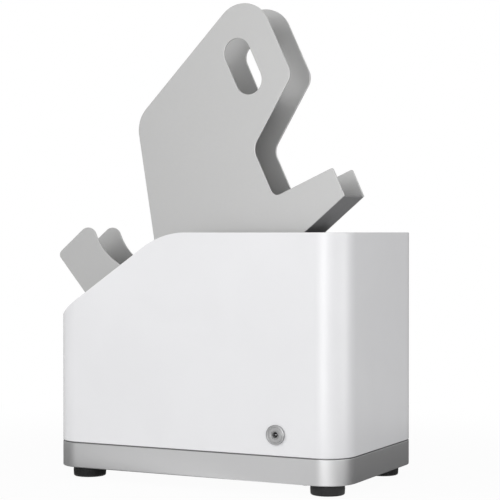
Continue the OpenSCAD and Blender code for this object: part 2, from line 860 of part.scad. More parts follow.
// ---- power inlet ----------------------------------------------------------------------
inlet_x = x_right - inlet_in;
inlet_z = z_seam + inlet_up;
inlet_thread = 12;                       // thread of the inlet's barrel
inlet_deep = 9.5;                        // depth of the bore that the plug enters
inlet_l = 15;                            // length of the inlet behind the front face
inlet_tag = 3;
bezel_step = 2.2;                        // how much wider the bezel's hole is than the bore
bezel_chamfer = 1.4;
lid_t = 1;                               // thickness of the bezel's front disc

module at_inlet(y = 0) {
    translate([inlet_x, -y_back + y, inlet_z]) children();
}

module inlet_body() {
    mouth = bezel_proud - lid_t;         // the barrel ends at the bezel's front disc
    color(dark_plastic)
    at_inlet() difference() {
        union() {
            translate([0, -mouth, 0]) rod_y(inlet_thread - 2 * slack, mouth + inlet_l);
            translate([-6, inlet_l - 4, -7.5]) cube([12, 4, 13]);
            for (x = [-3, 3]) translate([x - 1, inlet_l - 1, -0.4]) cube([2, inlet_tag + 1, 0.8]);
        }
        translate([0, -mouth - past, 0]) rod_y(inlet_bore, inlet_deep + mouth + past);
        translate([0, inlet_deep - past, 0]) rod_y(inlet_pin_d + 2 * slack, 2 * past + 1.5);
    }
}

module inlet_pin() {
    color(brass) at_inlet(-0.5) rod_y(inlet_pin_d, inlet_deep + 1.5, 48);
}

module inlet_bezel() {
    color(steel)
    at_inlet() difference() {
        rotate([90, 0, 0]) rotate_extrude($fn = 96) polygon([
            [0, 0],
            [bezel_d / 2, 0],
            [bezel_d / 2, bezel_proud - bezel_chamfer],
            [bezel_d / 2 - bezel_chamfer, bezel_proud],
            [0, bezel_proud]
        ]);
        translate([0, lid_t - bezel_proud, 0]) rod_y(inlet_thread, bezel_proud + past, 96);
        translate([0, -bezel_proud - past, 0]) rod_y(inlet_bore + bezel_step, bezel_proud + 2 * past, 96);
    }
}

module inlet_nut() {
    color(steel)
    at_inlet(wall) difference() {
        rod_y(17, 3, 6);
        translate([0, -past, 0]) rod_y(inlet_thread, 3 + 2 * past);
    }
}

// ---- rocker switch --------------------------------------------------------------------
switch_x = x_right - switch_in;
controls_z = z_seam + controls_up;
case_w = 13;                             // the case that passes the back wall
case_h = 19.6;
case_deep = 14;
switch_tag = 5;
rim_w = 15;                              // the rim that rests on the back wall
rim_h = 21.8;
rim_t = 1.6;
window_w = 10.6;
window_h = 17.4;
window_deep = 9;
pivot_in = 2.6;                          // from the rim's face to the rocker's pin
pin_d = 2;
pin_l = 0.9;                             // how far a pin stands out of the rocker
rocker_w = window_w - 2 * seat;
rocker_tilt = 9;                         // the rocker at rest leans by this angle, off
rocker_half = 7.9;                       // half the length of the rocker's face

module at_switch() {
    translate([switch_x, y_back, controls_z]) children();
}

module switch_case() {
    color(dark_plastic)
    at_switch() difference() {
        union() {
            translate([-case_w / 2, -case_deep, -case_h / 2]) cube([case_w, case_deep + 0.5, case_h]);
            translate([-rim_w / 2, 0, -rim_h / 2]) cube([rim_w, rim_t, rim_h]);
            for (x = [-3.5, 3.5]) translate([x - 0.4, -case_deep - switch_tag, -7.4])
                cube([0.8, switch_tag + 1, 4.8]);
        }
        translate([-window_w / 2, rim_t - window_deep, -window_h / 2])
            cube([window_w, window_deep + past, window_h]);
        translate([0, rim_t - pivot_in, 0]) rotate([0, 90, 0])
            cylinder(d = pin_d + 2 * slack, h = rocker_w + 2 * (pin_l + slack), center = true, $fn = 48);
    }
}

module power_rocker() {
    face = pivot_in - 0.4;               // height of the rocker's face above its pin
    color(dark_plastic)
    at_switch() translate([0, rim_t - pivot_in, 0]) rotate([-rocker_tilt, 0, 0]) {
        translate([-rocker_w / 2, 0, 0]) rotate([90, 0, 90]) linear_extrude(rocker_w) polygon([
            [face + 1.1, -rocker_half],
            [face - 0.3, 0],
            [face + 1.1, rocker_half],
            [-0.6, rocker_half - 0.6],
            [-3.6, 2.2],
            [-3.6, -2.2],
            [-0.6, -rocker_half + 0.6]
        ]);
        rotate([0, 90, 0]) cylinder(d = pin_d, h = rocker_w + 2 * pin_l, center = true, $fn = 48);
    }
}

// ---- speed control --------------------------------------------------------------------
knob_x = x_right - knob_in;
control_thread = 7;
control_d = 17;
control_t = 9;
control_nut_t = 2;
spindle_d = 6;
knob_gap = 0.6;                          // between the knob and the back wall
knob_recess_d = 15;
knob_recess = 3.4;
knob_rest = 140;                         // the knob's mark at rest, slowest, from upright

module at_knob(y = 0) {
    translate([knob_x, y_back + y, controls_z]) children();
}

module speed_control() {
    color(dark_plastic)
    at_knob() difference() {
        union() {
            translate([0, -wall - control_t, 0]) rod_y(control_d, control_t);
            translate([0, -wall - 1, 0]) rod_y(control_thread, wall + 1 + control_nut_t + 0.8);
            translate([-7, -wall - control_t + 3, -control_d / 2 - 4]) cube([14, 1.6, 7]);
        }
        translate([0, -wall - control_t + 2, 0]) rod_y(spindle_d + 2 * slack, 2 * control_t);
    }
}

module speed_control_nut() {
    color(steel)
    at_knob() difference() {
        rod_y(11, control_nut_t, 6);
        translate([0, -past, 0]) rod_y(control_thread + 2 * slack, control_nut_t + 2 * past);
    }
}

module speed_spindle() {
    color(steel)
    at_knob(-wall - control_t + 2 + seat) rod_y(spindle_d, wall + control_t - 2 - seat + knob_proud - 2);
}

module speed_knob() {
    grips = 18;
    grip_d = 2.2;
    color(dark_plastic)
    at_knob(knob_gap) difference() {
        rotate([-90, 0, 0]) rotate_extrude($fn = 96) polygon([
            [0, 0],
            [knob_d / 2, 0],
            [knob_d / 2 - 0.6, knob_proud - knob_gap - 1],
            [knob_d / 2 - 1.6, knob_proud - knob_gap],
            [0, knob_proud - knob_gap]
        ]);
        translate([0, -past, 0]) rod_y(knob_recess_d, knob_recess + past - knob_gap);
        translate([0, -past, 0]) rod_y(spindle_d + 2 * slack, knob_proud - knob_gap - 1.5 + past);
        for (i = [1:grips - 1]) rotate([0, knob_rest + i * 360 / grips, 0])
            translate([0, 1.4, knob_d / 2 + grip_d * 0.2]) rod_y(grip_d, knob_proud, 24);
        rotate([0, knob_rest, 0]) translate([-0.6, knob_proud - knob_gap - 0.6, knob_d / 2 - 7])
            cube([1.2, 2, 8]);
    }
}

// ---- circuit board --------------------------------------------------------------------
m3 = 3;
m3_head_d = 5.6;
m3_head_h = 2;
board_w = 84;
board_d = 56;
board_t = 1.6;
board_x = motor_x - 12;                  // middle of the board
board_up = 6;                            // height of the spacers under it
board_z = z_floor + board_up;
board_top = board_z + board_t;
spacer_in = 4.5;
spacer_places = [
    for (x = [-1, 1], y = [-1, 1])
        [board_x + x * (board_w / 2 - spacer_in), y * (board_d / 2 - spacer_in)]
];

module circuit_board() {
    color(board_green)
    difference() {
        translate([board_x - board_w / 2, -board_d / 2, board_z]) cube([board_w, board_d, board_t]);
        for (p = spacer_places)
            translate([p.x, p.y, board_z - past])
                cylinder(d = m3 + hole_slack, h = board_t + 2 * past, $fn = round_fn);
    }
}

module board_spacers() {
    color(brass)
    for (p = spacer_places) translate([p.x, p.y, z_floor]) difference() {
        cylinder(d = 6, h = board_up, $fn = 6);
        translate([0, 0, -past]) cylinder(d = m3 + 2 * slack, h = board_up + 2 * past, $fn = 48);
    }
}

module board_screws() {
    color(steel)
    for (p = spacer_places) {
        translate([p.x, p.y, board_top]) screw(m3, board_t + 2.6, m3_head_d, m3_head_h);
        translate([p.x, p.y, foot_h]) rotate([180, 0, 0]) screw(m3, base_floor + 2.6, m3_head_d, m3_head_h);
    }
}

terminal_w = 9;
terminal_d = 7;
terminal_h = 8.5;
terminal_places = [
    [board_x + board_w / 2 - 18, -1],
    [board_x + board_w / 2 - 34, 1],
    [board_x - 8, 1],
    [board_x - board_w / 2 + 20, 1]
];

// Screw terminals for the four pairs of leads, two capacitors, a chip and a coil.
module board_components() {
    color(dark_plastic) translate([0, 0, board_top]) {
        for (p = terminal_places)
            translate([p.x - terminal_w / 2, p.y * (board_d / 2 - 1 - terminal_d / 2) - terminal_d / 2, 0])
                cube([terminal_w, terminal_d, terminal_h]);
        for (x = [-6, 8]) translate([board_x + x, 4, 0]) cylinder(d = 8, h = 9, $fn = round_fn);
        translate([board_x - 26, -3, 0]) cube([10, 7, 2]);
        translate([board_x + 24, 2, 0]) difference() {
            cylinder(d = 14, h = 6, $fn = round_fn);
            translate([0, 0, -past]) cylinder(d = 6, h = 6 + 2 * past, $fn = round_fn);
        }
    }
}

// ---- leads ----------------------------------------------------------------------------
lead_d = 1.8;
lead_sides = 8;
bend_rings = 5;                          // rings round each bend of a lead

// Rounds a route in space: each inner point becomes a short quadratic curve.
function smooth(route, r) = [
    route[0],
    for (i = [1:len(route) - 2])
        let (
            a = route[i] + unit(route[i - 1] - route[i]) * r,
            b = route[i] + unit(route[i + 1] - route[i]) * r
        )
        each [
            for (k = [0:bend_rings - 1])
                let (t = k / (bend_rings - 1))
                a * (1 - t) * (1 - t) + route[i] * 2 * t * (1 - t) + b * t * t
        ],
    route[len(route) - 1]
];

// A tube of lead_sides flat sides swept along points; side is a direction that the route
// never takes.
module tube(points, d, side) {
    n = len(points);
    rings = [
        for (i = [0:n - 1])
            let (
                ahead = unit(points[min(i + 1, n - 1)] - points[max(i - 1, 0)]),
                u = unit(cross(ahead, side)),
                v = cross(ahead, u)
            )
            for (k = [0:lead_sides - 1])
                points[i] + d / 2 * (u * cos(k * 360 / lead_sides) + v * sin(k * 360 / lead_sides))
    ];
    walls = [
        for (i = [0:n - 2], k = [0:lead_sides - 1])
            let (
                j = (k + 1) % lead_sides,
                a = i * lead_sides + k,
                b = i * lead_sides + j,
                c = (i + 1) * lead_sides + j,
                e = (i + 1) * lead_sides + k
            )
            each [[a, b, c], [a, c, e]]
    ];
    near = [for (k = [1:lead_sides - 2]) [0, k + 1, k]];
    far = (n - 1) * lead_sides;
    caps = [for (k = [1:lead_sides - 2]) [far, far + k, far + k + 1]];
    polyhedron(points = rings, faces = concat(walls, near, caps));
}

// A red and a black lead side by side along X, start_pitch apart at their tags. They run down
// and inward from the front (toward = 1) or the back (toward = -1).
module lead_pair(route, start_pitch, toward) {
    last = len(route) - 1;
    for (s = [-1, 1])
        color(s < 0 ? lead_red : lead_black)
        tube(
            smooth([
                for (i = [0:last])
                    route[i] + [
                        s / 2 * (i < 2 ? start_pitch : terminal_pitch),
                        0,
                        i == 2 || i == 3 ? s * pair_step : 0
                    ]
            ], lead_bend),
            lead_d, [0.1, toward, 1]
        );
}

lead_bend = 2.5;
terminal_pitch = 4;
pair_step = 1.2;                         // how far a pair's leads run above and below its middle
lead_z = board_top + 4;                  // height at which leads enter a terminal
under_z = z_floor + 12;                  // height of the leads below the carrier plate
lead_lane = carrier_y + 4.5;             // leads drop between the carrier plate and the walls

// The last stretch of a pair's route, from its lane to its terminal on the board.
function to_terminal(terminal) = [
    [terminal.x, terminal.y * (board_d / 2 + 14), under_z],
    [terminal.x, terminal.y * (board_d / 2 + 6), lead_z],
    [terminal.x, terminal.y * (board_d / 2 - 1 + seat), lead_z]
];

module inlet_leads() {
    lead_pair(concat([
        [inlet_x, -y_back + inlet_l + inlet_tag + seat, inlet_z],
        [inlet_x, -lead_lane, inlet_z],
        [inlet_x, -lead_lane, under_z]
    ], to_terminal(terminal_places[0])), 6, 1);
}

module switch_leads() {
    z = controls_z - 5;
    lead_pair(concat([
        [switch_x, y_back - case_deep - switch_tag - seat, z],
        [switch_x, lead_lane, z],
        [switch_x, lead_lane, under_z]
    ], to_terminal(terminal_places[1])), 7, -1);
}

module speed_leads() {
    z = controls_z - control_d / 2 - 2.5;
    lead_pair(concat([
        [knob_x, y_back - wall - control_t + 3 - seat, z],
        [knob_x, lead_lane, z],
        [knob_x, lead_lane, under_z]
    ], to_terminal(terminal_places[2])), 8, -1);
}

// One lead to each brush's tag: up through the carrier plate and in from the side.
module motor_leads() {
    terminal = terminal_places[3];
    tag_y = motor_l / 2 + cap_t + tag_l / 2 + 0.5;
    tag_x = brush_x + brush_w / 2 + seat;
    high_z = under_z + 6;
    for (s = [-1, 1]) {
        lane_y = lead_hole_y + s * 1.5;
        x0 = terminal.x + s * terminal_pitch / 2;
        color(s < 0 ? lead_red : lead_black)
        tube(smooth([
            [x0, board_d / 2 - 1 + seat, lead_z],
            [x0, board_d / 2 + 4, lead_z],
            [x0 + 2, lane_y, high_z],
            [motor_x + s * lead_hole_out, lane_y, high_z],
            [motor_x + s * lead_hole_out, tag_y, motor_z],
            [motor_x + s * tag_x, tag_y, motor_z]
        ], lead_bend), lead_d, [0.1, -1, 1]);
    }
}

housing_shell();
base_tray();
foot_front_left();
foot_front_right();
foot_rear_left();
foot_rear_right();
foot_screws();
foot_nuts();
housing_screws();
buffer_front_left();
buffer_front_right();
buffer_rear_left();
buffer_rear_right();
buffer_lower_studs();
buffer_lower_nuts();
inlet_body();
inlet_bezel();
inlet_nut();
inlet_pin();
switch_case();
speed_control();
speed_control_nut();
circuit_board();
board_spacers();
board_screws();
board_components();
inlet_leads();
switch_leads();
speed_leads();
motor_leads();
carrier_plate();
buffer_upper_studs();
buffer_upper_nuts();
left_cradle_bracket();
right_cradle_bracket();
bracket_bolts();
bracket_nuts();
tray_floor();
front_guide_plate();
rear_guide_plate();
tray_screws();
tray_nuts();
motor_can();
motor_front_cap();
motor_rear_cap();
motor_bearings();
motor_magnets();
motor_brushes();
motor_saddle();
motor_straps();
strap_bolts();
strap_nuts();
motor_shaft();
motor_armature();
front_weight();
rear_weight();
weight_set_screws();
power_rocker();
speed_knob();
speed_spindle();
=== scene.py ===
"""Electric paper jogger: the finished surfaces, materials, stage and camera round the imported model.

Lengths in the settings are metres and the frame is the model's own: +X to the right, +Y to the
back, +Z up, with the origin on the desk under the middle of the machine.
"""

import json
import math
from itertools import product

import bmesh
import bpy
import numpy as np
from bpy.props import FloatProperty, FloatVectorProperty, IntProperty, PointerProperty
from mathutils import Matrix, Vector
from mathutils.geometry import tessellate_polygon


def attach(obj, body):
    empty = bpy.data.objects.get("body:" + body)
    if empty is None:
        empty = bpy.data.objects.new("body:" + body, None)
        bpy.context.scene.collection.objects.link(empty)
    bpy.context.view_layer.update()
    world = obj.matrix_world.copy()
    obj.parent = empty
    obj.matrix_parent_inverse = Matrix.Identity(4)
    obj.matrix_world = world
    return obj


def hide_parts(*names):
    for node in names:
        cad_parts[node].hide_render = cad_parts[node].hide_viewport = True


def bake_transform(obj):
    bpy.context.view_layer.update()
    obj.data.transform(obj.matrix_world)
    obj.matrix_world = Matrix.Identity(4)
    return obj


bl_info = {
    "name": "Paper Jogger",
    "version": (1, 0, 0),
    "blender": (4, 5, 0),
    "location": "View3D > Sidebar > Jogger",
    "description": "Builds the finished surfaces of an electric paper jogger and its studio stage",
    "category": "Object",
}

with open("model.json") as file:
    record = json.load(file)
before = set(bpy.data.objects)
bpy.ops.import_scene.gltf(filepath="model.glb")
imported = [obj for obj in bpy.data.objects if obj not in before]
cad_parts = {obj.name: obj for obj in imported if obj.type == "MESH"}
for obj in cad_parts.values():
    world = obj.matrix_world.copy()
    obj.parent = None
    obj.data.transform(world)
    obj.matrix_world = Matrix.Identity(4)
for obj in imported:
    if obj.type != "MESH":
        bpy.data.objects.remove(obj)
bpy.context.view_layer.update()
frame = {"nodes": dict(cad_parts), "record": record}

# Places that several pieces share, in metres.
FOOT_INSET, FOOT_Y = 0.030, 0.075           # feet: in from the housing's ends, off the middle
POST_INSET, POST_OFF_WALL = 0.046, 0.0125   # screw posts: in from the ends, in from the long walls
BUFFER_X, BUFFER_Y = (-0.1045, 0.1395), (-0.0575, 0.0575)
SPACER_X, SPACER_Y = (0.0285, 0.1035), (-0.0235, 0.0235)
AXIS = 1e-5                                 # radius that closes a turned profile at its axis
WHITE = (1.0, 1.0, 1.0)


# ---- settings -----------------------------------------------------------------------------
def length(name, text, default, low=0.0, high=2.0):
    """A length in metres for a settings panel."""
    return FloatProperty(name=name, description=text, default=default, min=low, max=high,
                         precision=5, unit="LENGTH")


def colour(name, text, default):
    """A linear colour for a settings panel."""
    return FloatVectorProperty(name=name, description=text, default=default, size=3,
                               min=0.0, max=1.0, subtype="COLOR")


def level(name, text, default, **unit):
    """A strength of light, or a lamp's power, for a settings panel."""
    return FloatProperty(name=name, description=text, default=default, min=0.0, **unit)


class JoggerHousingSettings(bpy.types.PropertyGroup):
    """Sizes and colour of the moulded housing."""

    left: length("Left side", "X of the housing's left side", -0.152, -1.0)
    right: length("Right side", "X of the housing's right side", 0.195)
    depth: length("Depth", "Depth of the housing, front to back", 0.210)
    seam: length("Seam height", "Height of the seam above the desk", 0.0403)
    top: length("Top height", "Height of the housing's top above the desk", 0.2683)
    corner: length("Corner radius", "Radius of the upright corners", 0.032)
    wall: length("Wall", "Thickness of the housing's wall", 0.0025)
    edge: length("Top edge radius", "Radius of the edge between the walls and the top", 0.0009)
    slant: FloatProperty(name="Slant", description="Angle of the slanted face from level",
                         default=math.radians(34.2), subtype="ANGLE")
    slant_end: length("Slant end", "X where the slanted face would meet the top", -0.0137, -1.0)
    shoulder: length("Shoulder radius", "Radius that blends the slanted face into the top", 0.090)
    mouth_left: length("Opening left", "X of the opening's left end", -0.1461, -1.0)
    mouth_right: length("Opening right", "X of the opening's right end", 0.12795)
    mouth_half: length("Opening half width", "Half of the opening's width along Y", 0.0345)
    mouth_corner: length("Opening corner radius", "Radius of the opening's corners", 0.006)
    lip: length("Lip thickness", "Thickness of the opening's turned-in lip", 0.002)
    lip_drop: length("Lip drop", "How far the lip's end lies below the outer surface", 0.0085)
    paint: colour("Housing colour", "Colour of the moulded housing", (0.80, 0.80, 0.815))


class JoggerBaseSettings(bpy.types.PropertyGroup):
    """Sizes and colours of the base tray and the feet."""

    bottom: length("Underside height", "Height of the base tray's underside above the desk", 0.0123)
    edge: length("Bottom edge radius", "Radius of the base tray's bottom edge", 0.0009)
    gap: length("Shadow gap height", "Height of the shadow gap at the seam", 0.0012)
    gap_depth: length("Shadow gap depth", "Depth of the shadow gap at the seam", 0.0012)
    wall: length("Base wall", "Thickness of the base tray's side wall", 0.0048)
    floor: length("Base floor", "Thickness of the base tray's floor", 0.003)
    lip: length("Inner lip", "Height of the lip that stands inside the housing", 0.005)
    foot_radius: length("Foot radius", "Radius of a rubber foot", 0.018)
    buffer_low: length("Buffer bottom", "Height of the rubber buffers' lower face", 0.0168)
    buffer_high: length("Buffer top", "Height of the rubber buffers' upper face", 0.0388)
    buffer_radius: length("Buffer radius", "Radius of a rubber buffer at its ends", 0.0125)
    paint: colour("Base colour", "Colour of the silver base tray", (0.45, 0.45, 0.454))
    rubber: colour("Rubber colour", "Colour of the rubber feet", (0.0165, 0.0165, 0.017))


class JoggerTraySettings(bpy.types.PropertyGroup):
    """Sizes and colour of the tray's sheet parts."""

    corner_x: length("Corner X", "X of the corner of the V", -0.0785, -1.0)
    corner_z: length("Corner Z", "Height of the corner of the V", 0.1043)
    tilt: FloatProperty(name="Tilt", description="Tilt of the long arm from level",
                        default=math.radians(40.0), subtype="ANGLE")
    long_arm: length("Long arm", "Length of the long arm", 0.3155)
    short_arm: length("Short arm", "Length of the short arm", 0.1817)
    half_gap: length("Half gap", "Half of the paper space between the guide plates", 0.0255)
    sheet: length("Sheet", "Thickness of the guide plates", 0.002)
    edge: length("Plate edge radius", "Radius of the eased edges of a guide plate", 0.00045)
    paint: colour("Tray colour", "Colour of the tray's powder coat", (0.472, 0.472, 0.47))


class JoggerFittingSettings(bpy.types.PropertyGroup):
    """Sizes and colours of the inlet, the switch and the speed knob."""

    inlet_x: length("Inlet X", "X of the power inlet", 0.1204, -1.0)
    inlet_z: length("Inlet Z", "Height of the power inlet", 0.0618)
    bezel_radius: length("Bezel radius", "Outer radius of the inlet's bezel", 0.01025)
    bezel_proud: length("Bezel stand-out", "How far the bezel stands out of the front", 0.003)
    switch_x: length("Switch X", "X of the rocker switch", 0.131, -1.0)
    knob_x: length("Knob X", "X of the speed knob", 0.090, -1.0)
    controls_z: length("Controls Z", "Height of the switch and the knob", 0.0803)
    knob_radius: length("Knob radius", "Radius of the speed knob", 0.0125)
    grips: IntProperty(name="Knob grips", description="Number of flutes round the speed knob",
                       default=18, min=6, max=40)
    nickel: colour("Nickel colour", "Colour of the inlet's metal bezel", (0.345, 0.345, 0.348))
    plastic: colour("Black plastic colour", "Colour of the black plastic parts",
                    (0.016, 0.016, 0.017))


class JoggerStageSettings(bpy.types.PropertyGroup):
    """Lights, floor and camera of the studio stage."""

    key: level("Key light", "Power of the soft light beside the camera", 11.7, unit="POWER")
    front: level("Front light", "Power of the soft light on the left front", 22.6, unit="POWER")
    overhead: level("Overhead light", "Power of the soft light above", 3.2, unit="POWER")
    right: level("Right light", "Power of the soft light on the right", 4.5, unit="POWER")
    world: level("World", "Strength of the even light from all round", 0.42)
    floor_glow: level("Screen on the floor", "Strength of the screen's lower part", 1.0)
    wall_glow: level("Upright screen", "Strength of the screen's upright part", 1.0)
    eye: FloatVectorProperty(name="Camera place", description="Where the camera stands", size=3,
                             default=(0.81432, -1.55068, 0.26830), subtype="TRANSLATION")
    view: FloatVectorProperty(name="Camera direction", description="Where the camera looks", size=3,
                              default=(-0.44742, 0.89425, -0.01118), subtype="DIRECTION")
    lens: FloatProperty(name="Lens", description="Focal length of the camera in millimetres",
                        default=113.3, min=10.0)


# ---- surfaces -----------------------------------------------------------------------------
def put(name, data):
    """A new object with this data, at the origin of the scene."""
    obj = bpy.data.objects.new(name, data)
    bpy.context.scene.collection.objects.link(obj)
    return obj


def finish_piece(name, mesh, body, nodes, slot):
    """The object of a finished mesh, with the material of its slot, on its body if it rides on one;
    the nodes that it stands for are hidden.
    """
    mesh.materials.append(MATERIALS[slot])
    obj = put(name, mesh)
    if body:
        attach(obj, body)
    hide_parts(*nodes)
    return obj


class Skin:
    """Gathers the grids and flat faces of one piece, and makes its mesh."""

    def __init__(self):
        self.points, self.faces, self.smooth, self.count = [], [], [], 0

    def grid(self, points, wrap_rows=False, wrap_cols=True):
        """Adds the quads between neighbours of a grid of points, rows by columns by 3."""
        rows, cols = points.shape[:2]
        first = index = np.arange(rows * cols).reshape(rows, cols) + self.count
        if wrap_cols:
            index = np.hstack([index, index[:, :1]])
        if wrap_rows:
            index = np.vstack([index, index[:1]])
        quads = np.stack([index[:-1, :-1], index[:-1, 1:], index[1:, 1:], index[1:, :-1]], -1)
        self.points.append(points.reshape(-1, 3))
        self.faces += quads.reshape(-1, 4).tolist()
        self.smooth += [True] * quads[..., 0].size
        self.count += rows * cols
        return first

    def cap(self, loops, flip=False):
        """Closes a flat outline and its holes, each a row of point numbers, with triangles."""
        points = np.concatenate(self.points)
        corners = np.concatenate(loops)
        fans = tessellate_polygon([[Vector(points[i]) for i in loop] for loop in loops])
        faces = corners[np.array(fans)]
        if flip:
            faces = faces[:, ::-1]
        self.faces += faces.tolist()
        self.smooth += [False] * len(faces)

    def prism(self, rings):
        """Adds a closed solid: a grid of two or more rings, with flat ends."""
        index = self.grid(rings)
        self.cap([index[0]])
        self.cap([index[-1]], flip=True)

    def mesh(self, name, closed=True):
        """The mesh of all that was added, its faces turned outwards if it is closed."""
        mesh = bpy.data.meshes.new(name)
        mesh.from_pydata(np.concatenate(self.points).tolist(), [], self.faces)
        if closed:
            work = bmesh.new()
            work.from_mesh(mesh)
            bmesh.ops.recalc_face_normals(work, faces=work.faces)
            work.to_mesh(mesh)
            work.free()
        return mesh

    def piece(self, name, body, nodes, slot, sharp=40.0):
        """Makes the mesh, flat on its caps and smooth up to the sharp angle, and its object."""
        mesh = self.mesh(name)
        mesh.set_sharp_from_angle(angle=math.radians(sharp))    # first, as it clears flat faces
        mesh.polygons.foreach_set("use_smooth", np.array(self.smooth, bool))
        mesh.update()
        return finish_piece(name, mesh, body, nodes, slot)


def quarter(steps):
    """Angles from 0 to a right angle."""
    return np.linspace(0.0, math.pi / 2, steps)


def rounded_path(corners, step=3.0):
    """Points and outward normals along an outline whose corners are arcs.

    Each corner (x, y, r) is replaced by the arc of radius r that touches both its sides: its
    centre lies on the bisector, r / sin(half the corner's angle) away. The outline runs
    anticlockwise, so the outward normal is the arc's radius where the outline turns left, and
    the opposite where it turns right.
    """
    points, normals = [], []
    corners = np.asarray(corners, float)
    for before, here, after in zip(np.roll(corners, 1, 0), corners, np.roll(corners, -1, 0)):
        r = here[2]
        u = (before[:2] - here[:2]) / np.linalg.norm(before[:2] - here[:2])
        w = (after[:2] - here[:2]) / np.linalg.norm(after[:2] - here[:2])
        half = math.acos(np.clip(u @ w, -1, 1)) / 2
        centre = here[:2] + (u + w) / np.linalg.norm(u + w) * r / math.sin(half)
        start = here[:2] + u * r / math.tan(half) - centre
        stop = here[:2] + w * r / math.tan(half) - centre
        a0 = math.atan2(start[1], start[0])
        turn = (math.atan2(stop[1], stop[0]) - a0 + 3 * math.pi) % (2 * math.pi) - math.pi
        a = np.linspace(a0, a0 + turn, max(3, int(abs(math.degrees(turn)) / step) + 2))
        ring = np.stack([np.cos(a), np.sin(a)], -1)
        points.append(centre + r * ring)
        normals.append(ring if turn > 0 else -ring)
    return np.concatenate(points), np.concatenate(normals)


def plan_path(low_x, high_x, half_y, r, arc, runs):
    """A rounded rectangle with the same number of points on each side and corner.

    Each corner is a quarter circle of radius r and each side a straight run, so two such
    outlines match point for point, and a surface can be drawn from one to the other.
    """
    centres = [(high_x - r, -half_y + r), (high_x - r, half_y - r), (low_x + r, half_y - r),
               (low_x + r, -half_y + r)]
    points, normals = [], []
    for i, centre in enumerate(centres):
        a = np.linspace(-90 + 90 * i, 90 * i, arc)
        ring = np.stack([np.cos(np.radians(a)), np.sin(np.radians(a))], -1)
        follow = centres[(i + 1) % 4]
        end = np.array(centre) + r * ring[-1]
        begin = np.array(follow) + r * ring[-1]
        t = np.linspace(0, 1, runs[i % 2] + 2)[1:-1, None]
        points += [np.array(centre) + r * ring, end + (begin - end) * t]
        normals += [ring, np.repeat(ring[-1:], len(t), 0)]
    return np.concatenate(points), np.concatenate(normals)


def lathe(profile, centre, along, columns=96):
    """A profile of (radius, height) turned round a line through centre in the direction along.

    The point at angle a is centre + height * along + radius * (u cos a + v sin a), where u and v
    are square to the line.
    """
    profile = np.asarray(profile, float)
    along = np.asarray(along, float)
    u = np.cross(along, [0.0, 0.0, 1.0] if abs(along[2]) < 0.9 else [1.0, 0.0, 0.0])
    u /= np.linalg.norm(u)
    v = np.cross(along, u)
    a = np.linspace(0, 2 * math.pi, columns, endpoint=False)
    ring = np.cos(a)[:, None] * u + np.sin(a)[:, None] * v
    radius, height = profile[:, 0, None, None], profile[:, 1, None, None]
    return np.asarray(centre) + height * along + radius * ring


def rounded_profile(corners, steps=5):
    """A closed profile with rounded corners, given as (radius, height, rounding)."""
    points, _ = rounded_path(corners, 90.0 / steps)
    return points


def sheet_part(skin, outline, holes, y0, y1, edge):
    """A flat sheet from y0 to y1 with eased edges round its outline and its holes.

    The rim is a quarter circle, a straight run and a quarter circle carried along each outline:
    at angle t it lies edge * (1 - sin t) inside the outline and edge * (1 - cos t) from a face.
    """
    t = quarter(4)
    drawn_in = np.concatenate([edge * (1 - np.sin(t)), edge * (1 - np.sin(t[::-1]))])
    height = np.concatenate([y0 + edge * (1 - np.cos(t)), y1 - edge * (1 - np.cos(t[::-1]))])
    near, far = [], []
    for points, normals in [outline] + holes:
        flat = points[None] - normals[None] * drawn_in[:, None, None]
        depth = np.broadcast_to(height[:, None], flat.shape[:2])
        index = skin.grid(np.stack([flat[..., 0], depth, flat[..., 1]], -1))
        near.append(index[0])
        far.append(index[-1])
    skin.cap(near)
    skin.cap(far, flip=True)


# ---- materials ----------------------------------------------------------------------------
def node_group(name, outputs, **inputs):
    """A new shader node group, the values of its inputs and the sockets of its outputs."""
    group = bpy.data.node_groups.new(name, "ShaderNodeTree")
    for label, default in inputs.items():
        kind = "NodeSocketVector" if isinstance(default, tuple) else "NodeSocketFloat"
        socket = group.interface.new_socket(name=label.replace("_", " "), in_out="INPUT",
                                            socket_type=kind)
        socket.default_value = default
    for label in outputs:
        group.interface.new_socket(name=label, in_out="OUTPUT", socket_type="NodeSocketFloat")
    return (group, group.nodes.new("NodeGroupInput").outputs,
            group.nodes.new("NodeGroupOutput").inputs)


def wire(tree, value, socket):
    """Puts a constant or another node's output into a socket."""
    if isinstance(value, bpy.types.NodeSocket):
        tree.links.new(value, socket)
    elif socket.type == "RGBA":
        socket.default_value = (*value, 1.0)
    else:
        socket.default_value = value


def place(tree, kind, *inputs, **settings):
    """A new node with its settings, and with its inputs by name or in their order."""
    node = tree.nodes.new(kind)
    for key, value in settings.items():
        label = key.replace("_", " ")
        if label in node.inputs:
            wire(tree, value, node.inputs[label])
        else:
            setattr(node, key, value)
    for value, socket in zip(inputs, node.inputs):
        wire(tree, value, socket)
    return node


def here(tree):
    """The place on the piece, in its Object coordinates."""
    return place(tree, "ShaderNodeTexCoord").outputs["Object"]


def noise(tree, vector, scale, **settings):
    """Noise on a vector."""
    node = place(tree, "ShaderNodeTexNoise", Vector=vector, Scale=scale, **settings)
    return node.outputs["Fac"]


def ramp(tree, value, low, high, to_low=0.0, to_high=1.0):
    """A smooth step: to_low below low, to_high above high."""
    node = place(tree, "ShaderNodeMapRange", interpolation_type="SMOOTHSTEP", Value=value,
                 From_Min=low, From_Max=high, To_Min=to_low, To_Max=to_high)
    return node.outputs["Result"]


def times(tree, a, b):
    """One value times another."""
    return place(tree, "ShaderNodeMath", a, b, operation="MULTIPLY").outputs[0]


def larger(tree, a, b):
    """The larger of two values."""
    return place(tree, "ShaderNodeMath", a, b, operation="MAXIMUM").outputs[0]


